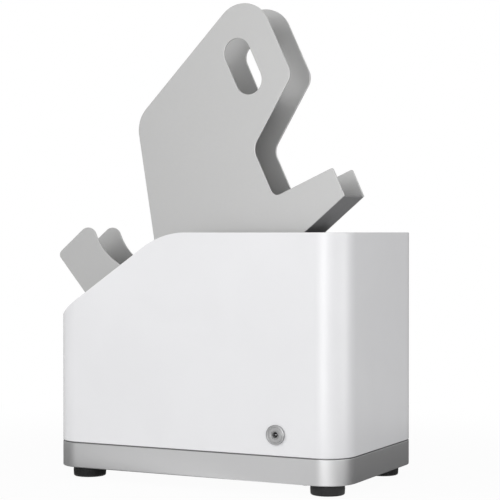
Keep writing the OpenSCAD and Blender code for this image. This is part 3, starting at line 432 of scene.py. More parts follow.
def seen_rays(tree):
    """1 for the rays from the camera and those that glossy and clear surfaces send, else 0."""
    rays = place(tree, "ShaderNodeLightPath").outputs
    return larger(tree, rays["Is Camera Ray"],
                  larger(tree, rays["Is Glossy Ray"], rays["Is Transmission Ray"]))


def bare_tree(owner, output):
    """The emptied node tree of a material or world, and the surface socket of its new output."""
    owner.use_nodes = True
    tree = owner.node_tree
    tree.nodes.clear()
    return tree, place(tree, output).inputs["Surface"]


def mixed(tree, factor, first, second, surface):
    """Two shader nodes, mixed by a factor, into an output."""
    mix = place(tree, "ShaderNodeMixShader", factor, first.outputs[0], second.outputs[0])
    wire(tree, mix.outputs[0], surface)


def make_groups():
    """The effects that several materials share: grain, mottle, brushing, and a mask of the edges that
    is tinted for rubbed edges and, on the silver paint and the powder coat, partly as a painted
    highlight.
    """
    grain, ins, outs = node_group("Fine grain", ("Height", "Tone"), Scale=900.0, Coarse=0.35)
    fine = noise(grain, here(grain), ins["Scale"], Detail=2.0, Roughness=0.6)
    coarser = times(grain, ins["Scale"], 0.2)
    wide = noise(grain, here(grain), coarser, Detail=3.0, Roughness=0.5)
    blend = place(grain, "ShaderNodeMix", ins["Coarse"], data_type="FLOAT")
    wire(grain, fine, blend.inputs[2])
    wire(grain, wide, blend.inputs[3])
    wire(grain, blend.outputs[0], outs["Height"])
    wire(grain, wide, outs["Tone"])

    mottle, ins, outs = node_group("Soft mottle", ("Tone",), Scale=12.0)
    cloud = noise(mottle, here(mottle), ins["Scale"], Detail=4.0, Roughness=0.5, Distortion=0.6)
    wire(mottle, ramp(mottle, cloud, 0.3, 0.7), outs["Tone"])

    brushed, ins, outs = node_group("Brushed lines", ("Height", "Tone"),
                                    Stretch=(1.0, 1.0, 1.0), Scale=600.0)
    pull = place(brushed, "ShaderNodeVectorMath", here(brushed), ins["Stretch"],
                 operation="MULTIPLY")
    lines = noise(brushed, pull.outputs[0], ins["Scale"], Detail=3.0, Roughness=0.7)
    wire(brushed, lines, outs["Height"])
    wire(brushed, ramp(brushed, lines, 0.35, 0.65), outs["Tone"])

    # Edge mask for rubbed edges, and partly for painted highlights along the edges of the silver
    # paint and the powder coat.
    edge_wear_and_highlight, ins, outs = node_group("Worn edges", ("Mask",),
                                 Reach=0.0012, Amount=0.5, Patch_scale=90.0)
    eased = place(edge_wear_and_highlight, "ShaderNodeBevel", samples=4, Radius=ins["Reach"]).outputs["Normal"]
    plain = place(edge_wear_and_highlight, "ShaderNodeNewGeometry").outputs["Normal"]
    turn = place(edge_wear_and_highlight, "ShaderNodeVectorMath", eased, plain, operation="DOT_PRODUCT")
    near_edge = ramp(edge_wear_and_highlight, turn.outputs["Value"], 0.80, 0.985, 1.0, 0.0)
    patches = noise(edge_wear_and_highlight, here(edge_wear_and_highlight), ins["Patch scale"], Detail=4.0, Roughness=0.65)
    patchy = ramp(edge_wear_and_highlight, patches, 0.38, 0.62)
    wire(edge_wear_and_highlight, times(edge_wear_and_highlight, times(edge_wear_and_highlight, near_edge, patchy), ins["Amount"]), outs["Mask"])
    return {"grain": grain, "mottle": mottle, "brushed": brushed, "edge_wear_and_highlight": edge_wear_and_highlight}


class Finish:
    """A material under way: its tree, its shader, and short ways to place the shared groups."""

    def __init__(self, name, **constants):
        """Constants go straight on the shader's sockets."""
        self.material = bpy.data.materials.new(name)
        self.material.use_nodes = True
        self.tree = self.material.node_tree
        self.shader = self.tree.nodes["Principled BSDF"]
        self.set(**constants)

    def set(self, **values):
        """Constants, or other nodes' outputs, on the shader's sockets."""
        for key, value in values.items():
            wire(self.tree, value, self.shader.inputs[key.replace("_", " ")])

    def group(self, name, **values):
        """The outputs of a shared group, placed with its own values."""
        return place(self.tree, "ShaderNodeGroup", node_tree=GROUPS[name], **values).outputs

    def tint(self, factor, below, above):
        """A colour between two, by a mask."""
        node = place(self.tree, "ShaderNodeMix", factor, data_type="RGBA")
        wire(self.tree, below, node.inputs[6])
        wire(self.tree, above, node.inputs[7])
        return node.outputs[2]

    def mottled(self, scale, below, above, share=None):
        """A colour between two, by a mottle or a share of it."""
        tone = self.group("mottle", Scale=scale)["Tone"]
        return self.tint(times(self.tree, tone, share) if share else tone, below, above)

    def specked(self, grain, base, spread):
        """A colour that the grain makes lighter and darker by the spread."""
        return self.tint(grain["Height"], scaled(base, 1 - spread), scaled(base, 1 + spread))

    def edge_tint(self, clean, accent, reach, amount, patches):
        """The clean colour, with the bare one in patches along the edges."""
        mask = self.group("edge_wear_and_highlight", Reach=reach, Amount=amount, Patch_scale=patches)["Mask"]
        return self.tint(mask, clean, accent)

    def rough(self, value, low, high):
        """Roughness from low to high as the value grows from 0 to 1."""
        self.set(Roughness=ramp(self.tree, value, 0.0, 1.0, low, high))

    def bump(self, height, strength, distance):
        """Raised by a height, at a strength and a distance in metres."""
        node = place(self.tree, "ShaderNodeBump", Height=height, Strength=strength,
                     Distance=distance)
        self.set(Normal=node.outputs["Normal"])

    def grained(self, grain, low, high, strength, distance):
        """Roughness and bump of one grain; the last call, it gives the material."""
        self.rough(grain["Tone"], low, high)
        self.bump(grain["Height"], strength, distance)
        return self.material


def scaled(base, factor):
    """A colour made lighter or darker, kept below white."""
    return tuple(min(0.98, float(c) * factor) for c in base)


def dusty(base):
    """A dark colour with a little dust on it."""
    return tuple(c + 0.006 for c in base)


def moulded_gloss(name, base):
    """Glossy moulded plastic: a faint long ripple, even sheen, and edges rubbed a touch duller."""
    f = Finish(name, IOR=1.5)
    clean = f.mottled(9.0, scaled(base, 0.985), scaled(base, 1.01))
    f.set(Base_Color=f.edge_tint(clean, scaled(base, 0.93), 0.0014, 0.5, 70.0))
    return f.grained(f.group("grain", Scale=1600.0, Coarse=0.5), 0.20, 0.27, 0.05, 0.00012)


def silver_paint(name, base, gap):
    """Satin silver paint: fine metal flake, slight cloudiness, and pale edges that are partly rubbed
    and partly a painted highlight.

    Above the height gap, in the shadow gap and on the lip, the colour is a flat dark grey: painted
    shade that makes the shadow gap read as a dark line.
    """
    f = Finish(name, Metallic=0.72, IOR=1.5)
    grain = f.group("grain", Scale=2600.0, Coarse=0.25)
    clean = f.mottled(14.0, f.specked(grain, base, 0.07), scaled(base, 0.97), 0.5)
    # Pale edges: partly rubbed paint, partly a painted highlight along them.
    rubbed_and_highlighted_edges = f.edge_tint(clean, scaled(base, 1.3), 0.0012, 0.45, 120.0)
    height = place(f.tree, "ShaderNodeSeparateXYZ", here(f.tree)).outputs["Z"]
    # Painted shade: the shadow gap and the lip are coloured dark grey to read as shade.
    accent = ramp(f.tree, height, gap - 0.0002, gap + 0.0001)
    f.set(Base_Color=f.tint(accent, rubbed_and_highlighted_edges, (0.14, 0.14, 0.142)))
    return f.grained(grain, 0.28, 0.38, 0.08, 0.00008)


def powder_coat(name, base):
    """Fine powder coat on sheet metal: a close orange-peel grain, and pale edges that are partly the
    metal showing through and partly a painted highlight.
    """
    f = Finish(name, Metallic=0.38, IOR=1.5)
    grain = f.group("grain", Scale=1500.0, Coarse=0.45)
    clean = f.mottled(7.0, f.specked(grain, base, 0.05), scaled(base, 0.975), 0.5)
    # Pale edges: partly metal showing through, partly a painted highlight along them.
    f.set(Base_Color=f.edge_tint(clean, (0.72, 0.72, 0.71), 0.0009, 0.5, 60.0))
    return f.grained(grain, 0.30, 0.37, 0.14, 0.0001)


def sheet_in_painted_shade(name, base):
    """Coated sheet of the tray's floor, coloured far darker than the tray's coat as painted shade for
    its place under and between the guide plates: a fine matt texture, rubbed along its edges.
    """
    f = Finish(name, Metallic=0.3, IOR=1.5)
    grain = f.group("grain", Scale=1100.0, Coarse=0.4)
    clean = f.mottled(22.0, f.specked(grain, base, 0.15), scaled(base, 0.88), 0.5)
    f.set(Base_Color=f.edge_tint(clean, scaled(base, 1.6), 0.0007, 0.6, 80.0))
    return f.grained(grain, 0.44, 0.56, 0.2, 0.00012)


def black_rubber(name, base):
    """Moulded rubber: matt, with a fine skin, grey bloom and dusty worn edges."""
    f = Finish(name, IOR=1.5, Specular_IOR_Level=0.25)
    bloom = f.mottled(60.0, base, dusty(base))
    f.set(Base_Color=f.edge_tint(bloom, (0.045, 0.045, 0.044), 0.0012, 0.6, 200.0))
    return f.grained(f.group("grain", Scale=1300.0, Coarse=0.5), 0.50, 0.68, 0.25, 0.00015)


def black_plastic(name, base, low=0.30, high=0.42):
    """Black moulded plastic with a fine spark-eroded grain and slightly polished edges."""
    f = Finish(name, IOR=1.5)
    clean = f.mottled(45.0, base, dusty(base))
    f.set(Base_Color=f.edge_tint(clean, (0.05, 0.05, 0.052), 0.0006, 0.6, 220.0))
    return f.grained(f.group("grain", Scale=2000.0, Coarse=0.3), low, high, 0.2, 0.0001)


def plated_metal(name, base, pull, low=0.22, high=0.36, edge_tint=(0.8, 0.8, 0.8), lines=700.0):
    """Plated or drawn metal: fine lines along its length, cloudy plate, bright edges."""
    f = Finish(name, Metallic=1.0)
    brushed = f.group("brushed", Stretch=pull, Scale=lines)
    mottle = f.group("mottle", Scale=40.0)["Tone"]
    lined = f.tint(brushed["Tone"], scaled(base, 0.92), scaled(base, 1.05))
    cloudy = f.tint(times(f.tree, mottle, 0.35), lined, scaled(base, 0.8))
    f.set(Base_Color=f.edge_tint(cloudy, edge_tint, 0.0005, 0.7, 260.0))
    f.rough(mottle, low, high)
    f.bump(brushed["Height"], 0.12, 0.00006)
    return f.material


def cast_iron(name, base):
    """Turned or sintered iron: dark, granular, lightly oiled."""
    f = Finish(name, Metallic=0.85)
    clean = f.mottled(70.0, scaled(base, 0.8), scaled(base, 1.2))
    f.set(Base_Color=f.edge_tint(clean, scaled(base, 2.2), 0.0007, 0.7, 180.0))
    return f.grained(f.group("grain", Scale=700.0, Coarse=0.5), 0.36, 0.55, 0.3, 0.0002)


def board_mask(name, base):
    """Solder mask on a circuit board: green gloss with faint darker tracks under it."""
    f = Finish(name, IOR=1.5)
    tracks = place(f.tree, "ShaderNodeTexBrick", Vector=here(f.tree), Scale=260.0,
                   Mortar_Size=0.06).outputs["Fac"]
    mottle = f.group("mottle", Scale=90.0)["Tone"]
    clean = f.tint(ramp(f.tree, tracks, 0.2, 0.8), base, scaled(base, 0.55))
    f.set(Base_Color=f.tint(times(f.tree, mottle, 0.4), clean, scaled(base, 1.25)))
    f.rough(mottle, 0.22, 0.34)
    f.bump(tracks, 0.2, 0.0001)
    return f.material


def lead_cover(name, base):
    """Insulation of a lead: smooth, softly glossy, with faint die lines."""
    f = Finish(name, IOR=1.45)
    f.set(Base_Color=f.mottled(80.0, base, scaled(base, 1.4)))
    return f.grained(f.group("grain", Scale=1800.0, Coarse=0.4), 0.32, 0.44, 0.1, 0.00006)


GROUPS = {}
MATERIALS = {}


def make_materials():
    """Every finish of the machine: one for each slot of the record, and some for one node."""
    scene = bpy.context.scene
    GROUPS.update(make_groups())
    across, around, even = (0.02, 1.0, 1.0), (1.0, 0.05, 1.0), (1.0, 1.0, 1.0)
    MATERIALS.update({
        "housing_white": moulded_gloss("Housing white", tuple(scene.jogger_housing.paint)),
        "base_grey": silver_paint("Base silver", tuple(scene.jogger_base.paint),
                                  scene.jogger_housing.seam - scene.jogger_base.gap),
        "tray_paint": powder_coat("Tray powder coat", tuple(scene.jogger_tray.paint)),
        "rubber_black": black_rubber("Foot rubber", tuple(scene.jogger_base.rubber)),
        "zinc_steel": plated_metal("Zinc plate", (0.58, 0.59, 0.61), (1.0, 1.0, 0.2)),
        "carriage_steel": plated_metal("Coated sheet", (0.46, 0.47, 0.49), across, 0.34, 0.5,
                                       lines=500.0),
        "black_plastic": black_plastic("Black plastic", tuple(scene.jogger_fittings.plastic)),
        "inlet_nickel": plated_metal("Satin nickel", tuple(scene.jogger_fittings.nickel), even,
                                     0.26, 0.36, lines=900.0),
        "brass": plated_metal("Turned brass", (0.62, 0.46, 0.20), even, 0.2, 0.34,
                              edge_tint=(0.85, 0.68, 0.36)),
        "board_green": board_mask("Solder mask", (0.012, 0.13, 0.05)),
        "lead_insulation": lead_cover("Lead insulation", (0.11, 0.012, 0.010)),
        "motor_steel": plated_metal("Drawn steel", (0.50, 0.50, 0.52), around, 0.24, 0.38),
        "magnet": cast_iron("Sintered magnet", (0.05, 0.05, 0.052)),
        "copper": plated_metal("Enamelled copper", (0.55, 0.20, 0.09), around, 0.28, 0.42,
                               edge_tint=(0.8, 0.4, 0.22)),
        "weight_iron": cast_iron("Turned iron", (0.20, 0.20, 0.21)),
        "black_steel": cast_iron("Black oxide", (0.03, 0.03, 0.032)),
        # Painted shade: the tray's floor gets a much darker sheet finish to stand for the shade it
        # lies in.
        "tray_floor": sheet_in_painted_shade("Tray floor sheet", (0.19, 0.19, 0.192)),
        "inlet_body": black_plastic("Inlet grey plastic", (0.30, 0.30, 0.302), 0.34, 0.46),
    })


# ---- operators ----------------------------------------------------------------------------
class JOGGER_OT_finishes(bpy.types.Operator):
    """Makes the materials and gives every carried-over part the one of its slot"""

    bl_idname = "jogger.finishes"
    bl_label = "Finishes"

    def execute(self, context):
        make_materials()
        for part in frame["record"]["subparts"]:
            materials = frame["nodes"][part["node"]].data.materials
            materials.clear()
            materials.append(MATERIALS.get(part["node"], MATERIALS[part["material_slot"]]))
        return {"FINISHED"}


def roof_height(x, s, inset):
    """Height of the housing's top above x, drawn in by inset.

    Left of the shoulder it is the slanted line, over the shoulder the circle that touches the
    slant and the top, and right of it the level top.
    """
    centre_x = s.slant_end + s.shoulder * math.tan(s.slant / 2)
    r = s.shoulder - inset
    line = s.top - (s.slant_end - x) * math.tan(s.slant) - inset / math.cos(s.slant)
    arc = s.top - s.shoulder + np.sqrt(np.maximum(r * r - (x - centre_x) ** 2, 0))
    left = np.where(x <= centre_x - r * math.sin(s.slant), line, arc)
    return np.where(x >= centre_x, s.top - inset, left)


def housing_grid(s):
    """The whole skin of the housing as one closed grid.

    Each column belongs to a point P of the plan and the matching point M of the opening. Its rows
    go up the wall at P, over a quarter circle onto the roof, straight from P to M at the roof's
    height, over the lip, down and round its end, and back along the inside to the seam.
    """
    arc, runs = 26, (24, 84)                    # points on a corner, and between corners
    plan, out = plan_path(s.left, s.right, s.depth / 2, s.corner, arc, runs)
    mouth, away = plan_path(s.mouth_left, s.mouth_right, s.mouth_half, s.mouth_corner, arc, runs)
    low, ri, rm, r = 0.0004, 0.001, 0.0009, s.edge   # rounding: seam, inside, opening, top edge
    rows = []

    def row(xy, z):
        rows.append(np.concatenate([xy, np.broadcast_to(z, (len(xy),))[:, None]], 1))

    def blend(a, b, f):
        return a + (b - a) * f

    for t in quarter(4):
        row(plan - out * low * (1 - math.sin(t)), s.seam + low * (1 - math.cos(t)))
    wall_top = roof_height(plan[:, 0], s, 0) - r
    for f in (0.004, 0.25, 0.5, 0.75, 0.99, 0.998):
        row(plan, blend(s.seam + low, wall_top, f))
    for t in quarter(9):
        at = plan - out * r * (1 - math.cos(t))
        row(at, roof_height(at[:, 0], s, 0) - r * (1 - math.sin(t)))
    start, stop = plan - out * r, mouth + away * rm
    for f in np.concatenate([[0.012], np.linspace(0.04, 0.96, 24), [0.988]]):
        at = blend(start, stop, f)
        row(at, roof_height(at[:, 0], s, 0))
    for t in quarter(5):
        at = mouth + away * rm * (1 - math.sin(t))
        row(at, roof_height(at[:, 0], s, 0) - rm * (1 - math.cos(t)))
    end_round = s.lip / 2
    lip_end = s.lip_drop - end_round
    for f in (0.1, 0.5, 0.9):
        row(mouth, roof_height(mouth[:, 0], s, 0) - rm + (rm - lip_end) * f)
    for t in np.linspace(0, math.pi, 9):
        at = mouth + away * end_round * (1 - math.cos(t))
        row(at, roof_height(at[:, 0], s, 0) - lip_end - end_round * math.sin(t))
    outer_lip = mouth + away * s.lip
    row(outer_lip, blend(roof_height(outer_lip[:, 0], s, 0) - lip_end,
                         roof_height(outer_lip[:, 0], s, s.wall), 0.5))
    inner = plan - out * (s.wall + ri)
    for f in np.linspace(0, 1, 20):
        at = blend(outer_lip, inner, f)
        row(at, roof_height(at[:, 0], s, s.wall))
    for t in quarter(5)[1:]:
        at = plan - out * (s.wall + ri * (1 - math.sin(t)))
        row(at, roof_height(at[:, 0], s, s.wall) - ri * (1 - math.cos(t)))
    inside = plan - out * s.wall
    wall_top = roof_height(inside[:, 0], s, s.wall) - ri
    for f in (0.01, 0.5, 1.0):
        row(inside, blend(wall_top, s.seam, f))
    return np.stack(rows)


def bored_post(skin, centre, low, high, radius, bore, depth):
    """A round post with a rounded top and a blind bore from below, as a turned profile."""
    t = quarter(5)
    r = 0.001
    profile = np.array(
        [(bore, low), (radius, low)]
        + [(radius - r * (1 - math.cos(a)), high - r * (1 - math.sin(a))) for a in t]
        + [(AXIS, high), (AXIS, low + depth), (bore, low + depth)])
    skin.grid(lathe(profile, (centre[0], centre[1], 0.0), (0, 0, 1), 48), wrap_rows=True)


def cut(obj, cutters):
    """Takes closed shapes out of an object and removes them."""
    for cutter in cutters:
        change = obj.modifiers.new("opening", "BOOLEAN")
        change.operation, change.solver, change.object = "DIFFERENCE", "EXACT", cutter
    graph = bpy.context.evaluated_depsgraph_get()
    mesh = bpy.data.meshes.new_from_object(obj.evaluated_get(graph))
    obj.modifiers.clear()
    old, obj.data = obj.data, mesh
    bpy.data.meshes.remove(old)
    for cutter in cutters:
        bpy.data.meshes.remove(cutter.data)
    mesh.set_sharp_from_angle(angle=math.radians(40))


def closed_solid(name, rings):
    """An object of a closed prism from a grid of two or more rings."""
    skin = Skin()
    skin.prism(rings)
    return put(name, skin.mesh(name))


class JOGGER_OT_housing(bpy.types.Operator):
    """Makes the moulded housing with its slanted face, shoulder, opening, lip and screw posts"""

    bl_idname = "jogger.housing"
    bl_label = "Housing"

    def execute(self, context):
        s, f = context.scene.jogger_housing, context.scene.jogger_fittings
        half = s.depth / 2
        skin = Skin()
        skin.grid(housing_grid(s), wrap_rows=True)
        shell = skin.piece("housing", "base", ["housing_shell"], "housing_white")
        inward, outward = 0.006, 0.004          # how far a cutter reaches in and out of a wall
        inlet_r, spindle_r, window_x, window_z = 0.0062, 0.0037, 0.0068, 0.0101
        inlet = lathe([(inlet_r, -outward), (inlet_r, inward)],
                      (f.inlet_x, -half, f.inlet_z), (0, 1, 0), 64)
        spindle = lathe([(spindle_r, -inward), (spindle_r, outward)],
                        (f.knob_x, half, f.controls_z), (0, 1, 0), 48)
        window = np.array([[(f.switch_x + x * window_x, y, f.controls_z + z * window_z)
                            for x, z in ((-1, -1), (1, -1), (1, 1), (-1, 1))]
                           for y in (half - inward, half + outward)])
        cut(shell, [closed_solid("inlet_cut", inlet), closed_solid("spindle_cut", spindle),
                    closed_solid("switch_cut", window)])
        self.bosses(s, half)
        return {"FINISHED"}

    def bosses(self, s, half):
        """Four screw posts inside the housing, each with a rib to the nearest wall."""
        low, high, radius, bore, depth = 0.0156, s.seam + 0.042, 0.006, 0.00205, 0.0187
        rib_low, rib_high, foot, tip = s.seam + 0.0063, high - 0.001, 0.00125, 0.0009
        skin = Skin()
        for x, side in product((s.left + POST_INSET, s.right - POST_INSET), (-1, 1)):
            y = side * (half - POST_OFF_WALL)
            bored_post(skin, (x, y), low, high, radius, bore, depth)
            near, wall = y + side * 0.005, side * (half - s.wall / 2)
            skin.prism(np.array([[(x + a * foot, near, rib_low), (x + a * foot, wall, rib_low),
                                  (x + a * foot, wall, rib_high), (x + a * tip, near, rib_high)]
                                 for a in (-1, 1)]))
        skin.piece("housing_bosses", "base", ["housing_shell"], "housing_white")


class JOGGER_OT_base(bpy.types.Operator):
    """Makes the silver base tray with its rounded edge, shadow gap and lip, and the four feet"""

    bl_idname = "jogger.base"
    bl_label = "Base and feet"

    def execute(self, context):
        s, b = context.scene.jogger_housing, context.scene.jogger_base
        e, small, bevel = b.edge, 0.0005, 0.0003   # rounding of the bottom and top edge; bevel
        plan, out = plan_path(s.left, s.right, s.depth / 2, s.corner, 28, (6, 10))
        rim, top = s.seam - b.gap, s.seam + b.lip
        outer, inner = s.wall + bevel, b.wall
        profile = [(b.wall, b.bottom)]
        profile += [(e * (1 - math.sin(a)), b.bottom + e * (1 - math.cos(a))) for a in quarter(9)]
        profile += [(0.0, b.bottom + e + 0.0004), (0.0, rim - small - bevel)]
        profile += [(small * (1 - math.cos(a)), rim - small * (1 - math.sin(a)))
                    for a in quarter(5)]
        profile += [(b.gap_depth, rim), (b.gap_depth, s.seam), (outer, s.seam),
                    (outer, top - bevel), (outer + bevel, top), (inner - bevel, top),
                    (inner, top - bevel), (inner, b.bottom + b.floor)]
        drawn_in, height = np.array(profile).T[:, :, None, None]
        flat = plan[None] - out[None] * drawn_in
        skin = Skin()
        index = skin.grid(np.concatenate(
            [flat, np.broadcast_to(height, flat.shape[:2] + (1,))], 2))
        self.floor(skin, s, b, index[0], index[-1])
        skin.piece("base_shell", "base", ["base_tray"], "base_grey", sharp=35)
        self.feet(s, b)
        return {"FINISHED"}

    def floor(self, skin, s, b, below, above):
        """The base tray's floor, two flat faces with the holes of its feet, buffers and screws."""
        low, high = b.bottom, b.bottom + b.floor
        post_y = s.depth / 2 - POST_OFF_WALL
        foot_hole, buffer_hole, post_hole, spacer_hole = 0.0027, 0.0032, 0.0022, 0.0017
        near, far = [below], [above]
        for r, xs, ys in (
                (foot_hole, (s.left + FOOT_INSET, s.right - FOOT_INSET), (-FOOT_Y, FOOT_Y)),
                (buffer_hole, BUFFER_X, BUFFER_Y),
                (post_hole, (s.left + POST_INSET, s.right - POST_INSET), (-post_y, post_y)),
                (spacer_hole, SPACER_X, SPACER_Y)):
            for x, y in product(xs, ys):
                index = skin.grid(lathe([(r, low), (r, high)], (x, y, 0.0), (0, 0, 1), 32))
                near.append(index[0])
                far.append(index[-1])
        skin.cap(near)
        skin.cap(far, flip=True)

    def feet(self, s, b):
        """Each foot is a turned rubber pad with rounded edges, a faint waist and a screw recess."""
        r, top, bore, recess, seat = b.foot_radius, b.bottom, 0.0027, 0.0055, 0.0055
        profile = rounded_profile([
            (bore, top, 0.0002), (bore, seat, 0.0002), (recess, seat, 0.0003),
            (recess, 0.0, 0.0005), (r - 0.0004, 0.0, 0.0016), (r, 0.0062, 0.003),
            (r - 0.0005, top, 0.0010)])
        for (side, y), (end, x) in product(
                (("front", -FOOT_Y), ("rear", FOOT_Y)),
                (("left", s.left + FOOT_INSET), ("right", s.right - FOOT_INSET))):
            skin = Skin()
            skin.grid(lathe(profile, (x, y, 0.0), (0, 0, 1)), wrap_rows=True)
            skin.piece("rubber_foot_" + side + "_" + end, "base", ["foot_" + side + "_" + end],
                       "rubber_black", sharp=35)


class JOGGER_OT_buffers(bpy.types.Operator):
    """Makes the four rubber buffers, which give between the base and the carrier plate"""

    bl_idname = "jogger.buffers"
    bl_label = "Rubber buffers"

    def execute(self, context):
        b = context.scene.jogger_base
        low, high = b.buffer_low, b.buffer_high
        profile = self.outline(low, high, b.buffer_radius)
        for (end, x), (side, y) in product(zip(("left", "right"), BUFFER_X),
                                           zip(("front", "rear"), BUFFER_Y)):
            skin = Skin()
            skin.grid(lathe(profile, (x, y, 0.0), (0, 0, 1)))
            node = "buffer_" + side + "_" + end
            obj = skin.piece("rubber_" + node, None, [node], "rubber_black", sharp=35)
            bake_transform(obj)
        return {"FINISHED"}

    def outline(self, low, high, r):
        """From the middle of the lower face up a side drawn in by a shallow arc, to the middle of
        the upper face.
        """
        waist, ease, half = 0.0015, 0.0003, (high - low) / 2
        bow = (half * half + waist * waist) / (2 * waist)
        up = np.linspace(-half + 0.0004, half - 0.0004, 17)
        side = zip(r - waist + bow - np.sqrt(bow * bow - up * up), up + low + half)
        ends = [(AXIS, low), (r / 2, low), (r - ease, low), (r - ease * 0.3, low + ease * 0.3)]
        return ends + list(side) + [(x, low + high - z) for x, z in reversed(ends)]


class JOGGER_OT_leads(bpy.types.Operator):
    """Makes the motor's leads again as one welded mesh, smooth up to a sharp angle"""

    bl_idname = "jogger.leads"
    bl_label = "Motor leads"

    def execute(self, context):
        work = bmesh.new()
        work.from_mesh(frame["nodes"]["motor_leads"].data)
        bmesh.ops.remove_doubles(work, verts=work.verts, dist=1e-6)
        mesh = bpy.data.meshes.new("motor_wiring")
        work.to_mesh(mesh)
        work.free()
        mesh.shade_smooth()
        mesh.set_sharp_from_angle(angle=math.radians(40))
        obj = finish_piece("motor_wiring", mesh, None, ["motor_leads"], "lead_insulation")
        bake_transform(obj)
        return {"FINISHED"}


def tray_outline(s):
    """The corners of a guide plate in X and Z with their radii, anticlockwise seen from the front.

    Most are places along and across the long arm, turned by the tilt round the corner of the V.
    """
    c, k = math.cos(s.tilt), math.sin(s.tilt)
    arm, short = s.long_arm, s.short_arm
    local = [(arm, 0, 0.0006), (arm + 0.0086, 0.0316, 0.0025), (arm - 0.0638, 0.0523, 0.008),
             (arm - 0.0491, 0.1089, 0.018), (arm + 0.0366, 0.1389, 0.0175),
             (arm + 0.0661, 0.2502, 0.0335), (0.1778, 0.2293, 0.0335), (0.0753, 0.056, 0.018),
             (0.048, short - 0.0358, 0.065), (0.0585, short, 0.0115), (0.0, short, 0.006)]
    corners = [(s.corner_x + a * c - u * k, s.corner_z + a * k + u * c, r) for a, u, r in local]
    to_left, to_right, low, r, sharp = 0.0545, 0.0655, 0.0453, 0.005, 0.0006   # the lower part
    left, right = s.corner_x - to_left, s.corner_x + to_right
    return corners + [(left, s.corner_z + to_left / math.tan(s.tilt), sharp), (left, low, r),
                      (right, low, r), (right, s.corner_z + to_right * math.tan(s.tilt), sharp)]


def slot_outline(s):
    """The finger slot: two half circles joined by straight runs, leaning to the left."""
    c, k = math.cos(s.tilt), math.sin(s.tilt)
    a, u = s.long_arm - 0.001, 0.1852
    centre = np.array([s.corner_x + a * c - u * k, s.corner_z + a * k + u * c])
    r, run, lean = 0.01575, 0.0165, math.radians(25)
    up = np.array([-math.sin(lean), math.cos(lean)])
    angle = np.concatenate([np.linspace(0, 180, 40), np.linspace(180, 360, 40)])
    angle = np.radians(angle) + lean
    ring = np.stack([np.cos(angle), np.sin(angle)], -1)
    side = np.repeat([1.0, -1.0], 40)[:, None]
    return (centre + up * run * side + r * ring)[::-1], -ring[::-1]


class JOGGER_OT_tray(bpy.types.Operator):
    """Makes the two guide plates with eased edges, finger slots and screw holes"""

    bl_idname = "jogger.tray"
    bl_label = "Guide plates"

    def execute(self, context):
        s = context.scene.jogger_tray
        outline = rounded_path(tray_outline(s), 2.0)
        c, k = math.cos(s.tilt), math.sin(s.tilt)
        a = np.linspace(0, 2 * math.pi, 32, endpoint=False)
        ring = np.stack([np.cos(a), -np.sin(a)], -1)
        holes = [slot_outline(s)]
        bracket_x, bracket_z, along, below, hole = 0.035, 0.0713, 0.045, 0.0065, 0.0022
        for x, z in ((s.corner_x - bracket_x, bracket_z), (s.corner_x + bracket_x, bracket_z),
                     (s.corner_x + along * c + below * k, s.corner_z + along * k - below * c),
                     (s.corner_x - below * c - along * k, s.corner_z - below * k + along * c)):
            holes.append((np.array([x, z]) + hole * ring, -ring))
        for name, y in (("front", -s.half_gap - s.sheet), ("rear", s.half_gap)):
            skin = Skin()
            sheet_part(skin, outline, holes, y, y + s.sheet, s.edge)
            skin.piece(name + "_plate", "tray_carriage", [name + "_guide_plate"], "tray_paint",
                       sharp=50)
        return {"FINISHED"}


class JOGGER_OT_inlet(bpy.types.Operator):
    """Makes the inlet's turned metal bezel and its centre pin"""

    bl_idname = "jogger.inlet"
    bl_label = "Power inlet"

    def execute(self, context):
        f, s = context.scene.jogger_fittings, context.scene.jogger_housing
        centre = (f.inlet_x, -s.depth / 2, f.inlet_z)
        r, h, barrel, hole = f.bezel_radius, f.bezel_proud, 0.006, 0.00425
        groove, under = h - 0.00035, h - 0.001      # a groove round the face, and the lip's back
        profile = rounded_profile([
            (barrel, 0.0, 0.0001), (r, 0.0, 0.0002), (r, h, 0.0011), (0.0086, h, 0.00015),
            (0.0083, groove, 0.0001), (0.0079, groove, 0.0001), (0.0076, h, 0.00015),
            (0.0047, h, 0.0002), (hole, h - 0.0004, 0.0001), (hole, under, 0.00005),
            (barrel, under, 0.00005)], 6)
        skin = Skin()
        skin.grid(lathe(profile, centre, (0, -1, 0)), wrap_rows=True)
        skin.piece("inlet_ring", "base", ["inlet_bezel"], "inlet_nickel", sharp=30)
        pin_r, root, tip = 0.00125, -0.0105, 0.0005
        pin = [(AXIS, root), (pin_r, root)]
        pin += [(pin_r * math.cos(a), tip - pin_r + pin_r * math.sin(a)) for a in quarter(6)[:-1]]
        pin += [(AXIS, tip)]
        skin = Skin()
        skin.grid(lathe(pin, centre, (0, -1, 0), 40), wrap_rows=True)
        skin.piece("inlet_contact", "base", ["inlet_pin"], "inlet_nickel", sharp=50)
        return {"FINISHED"}


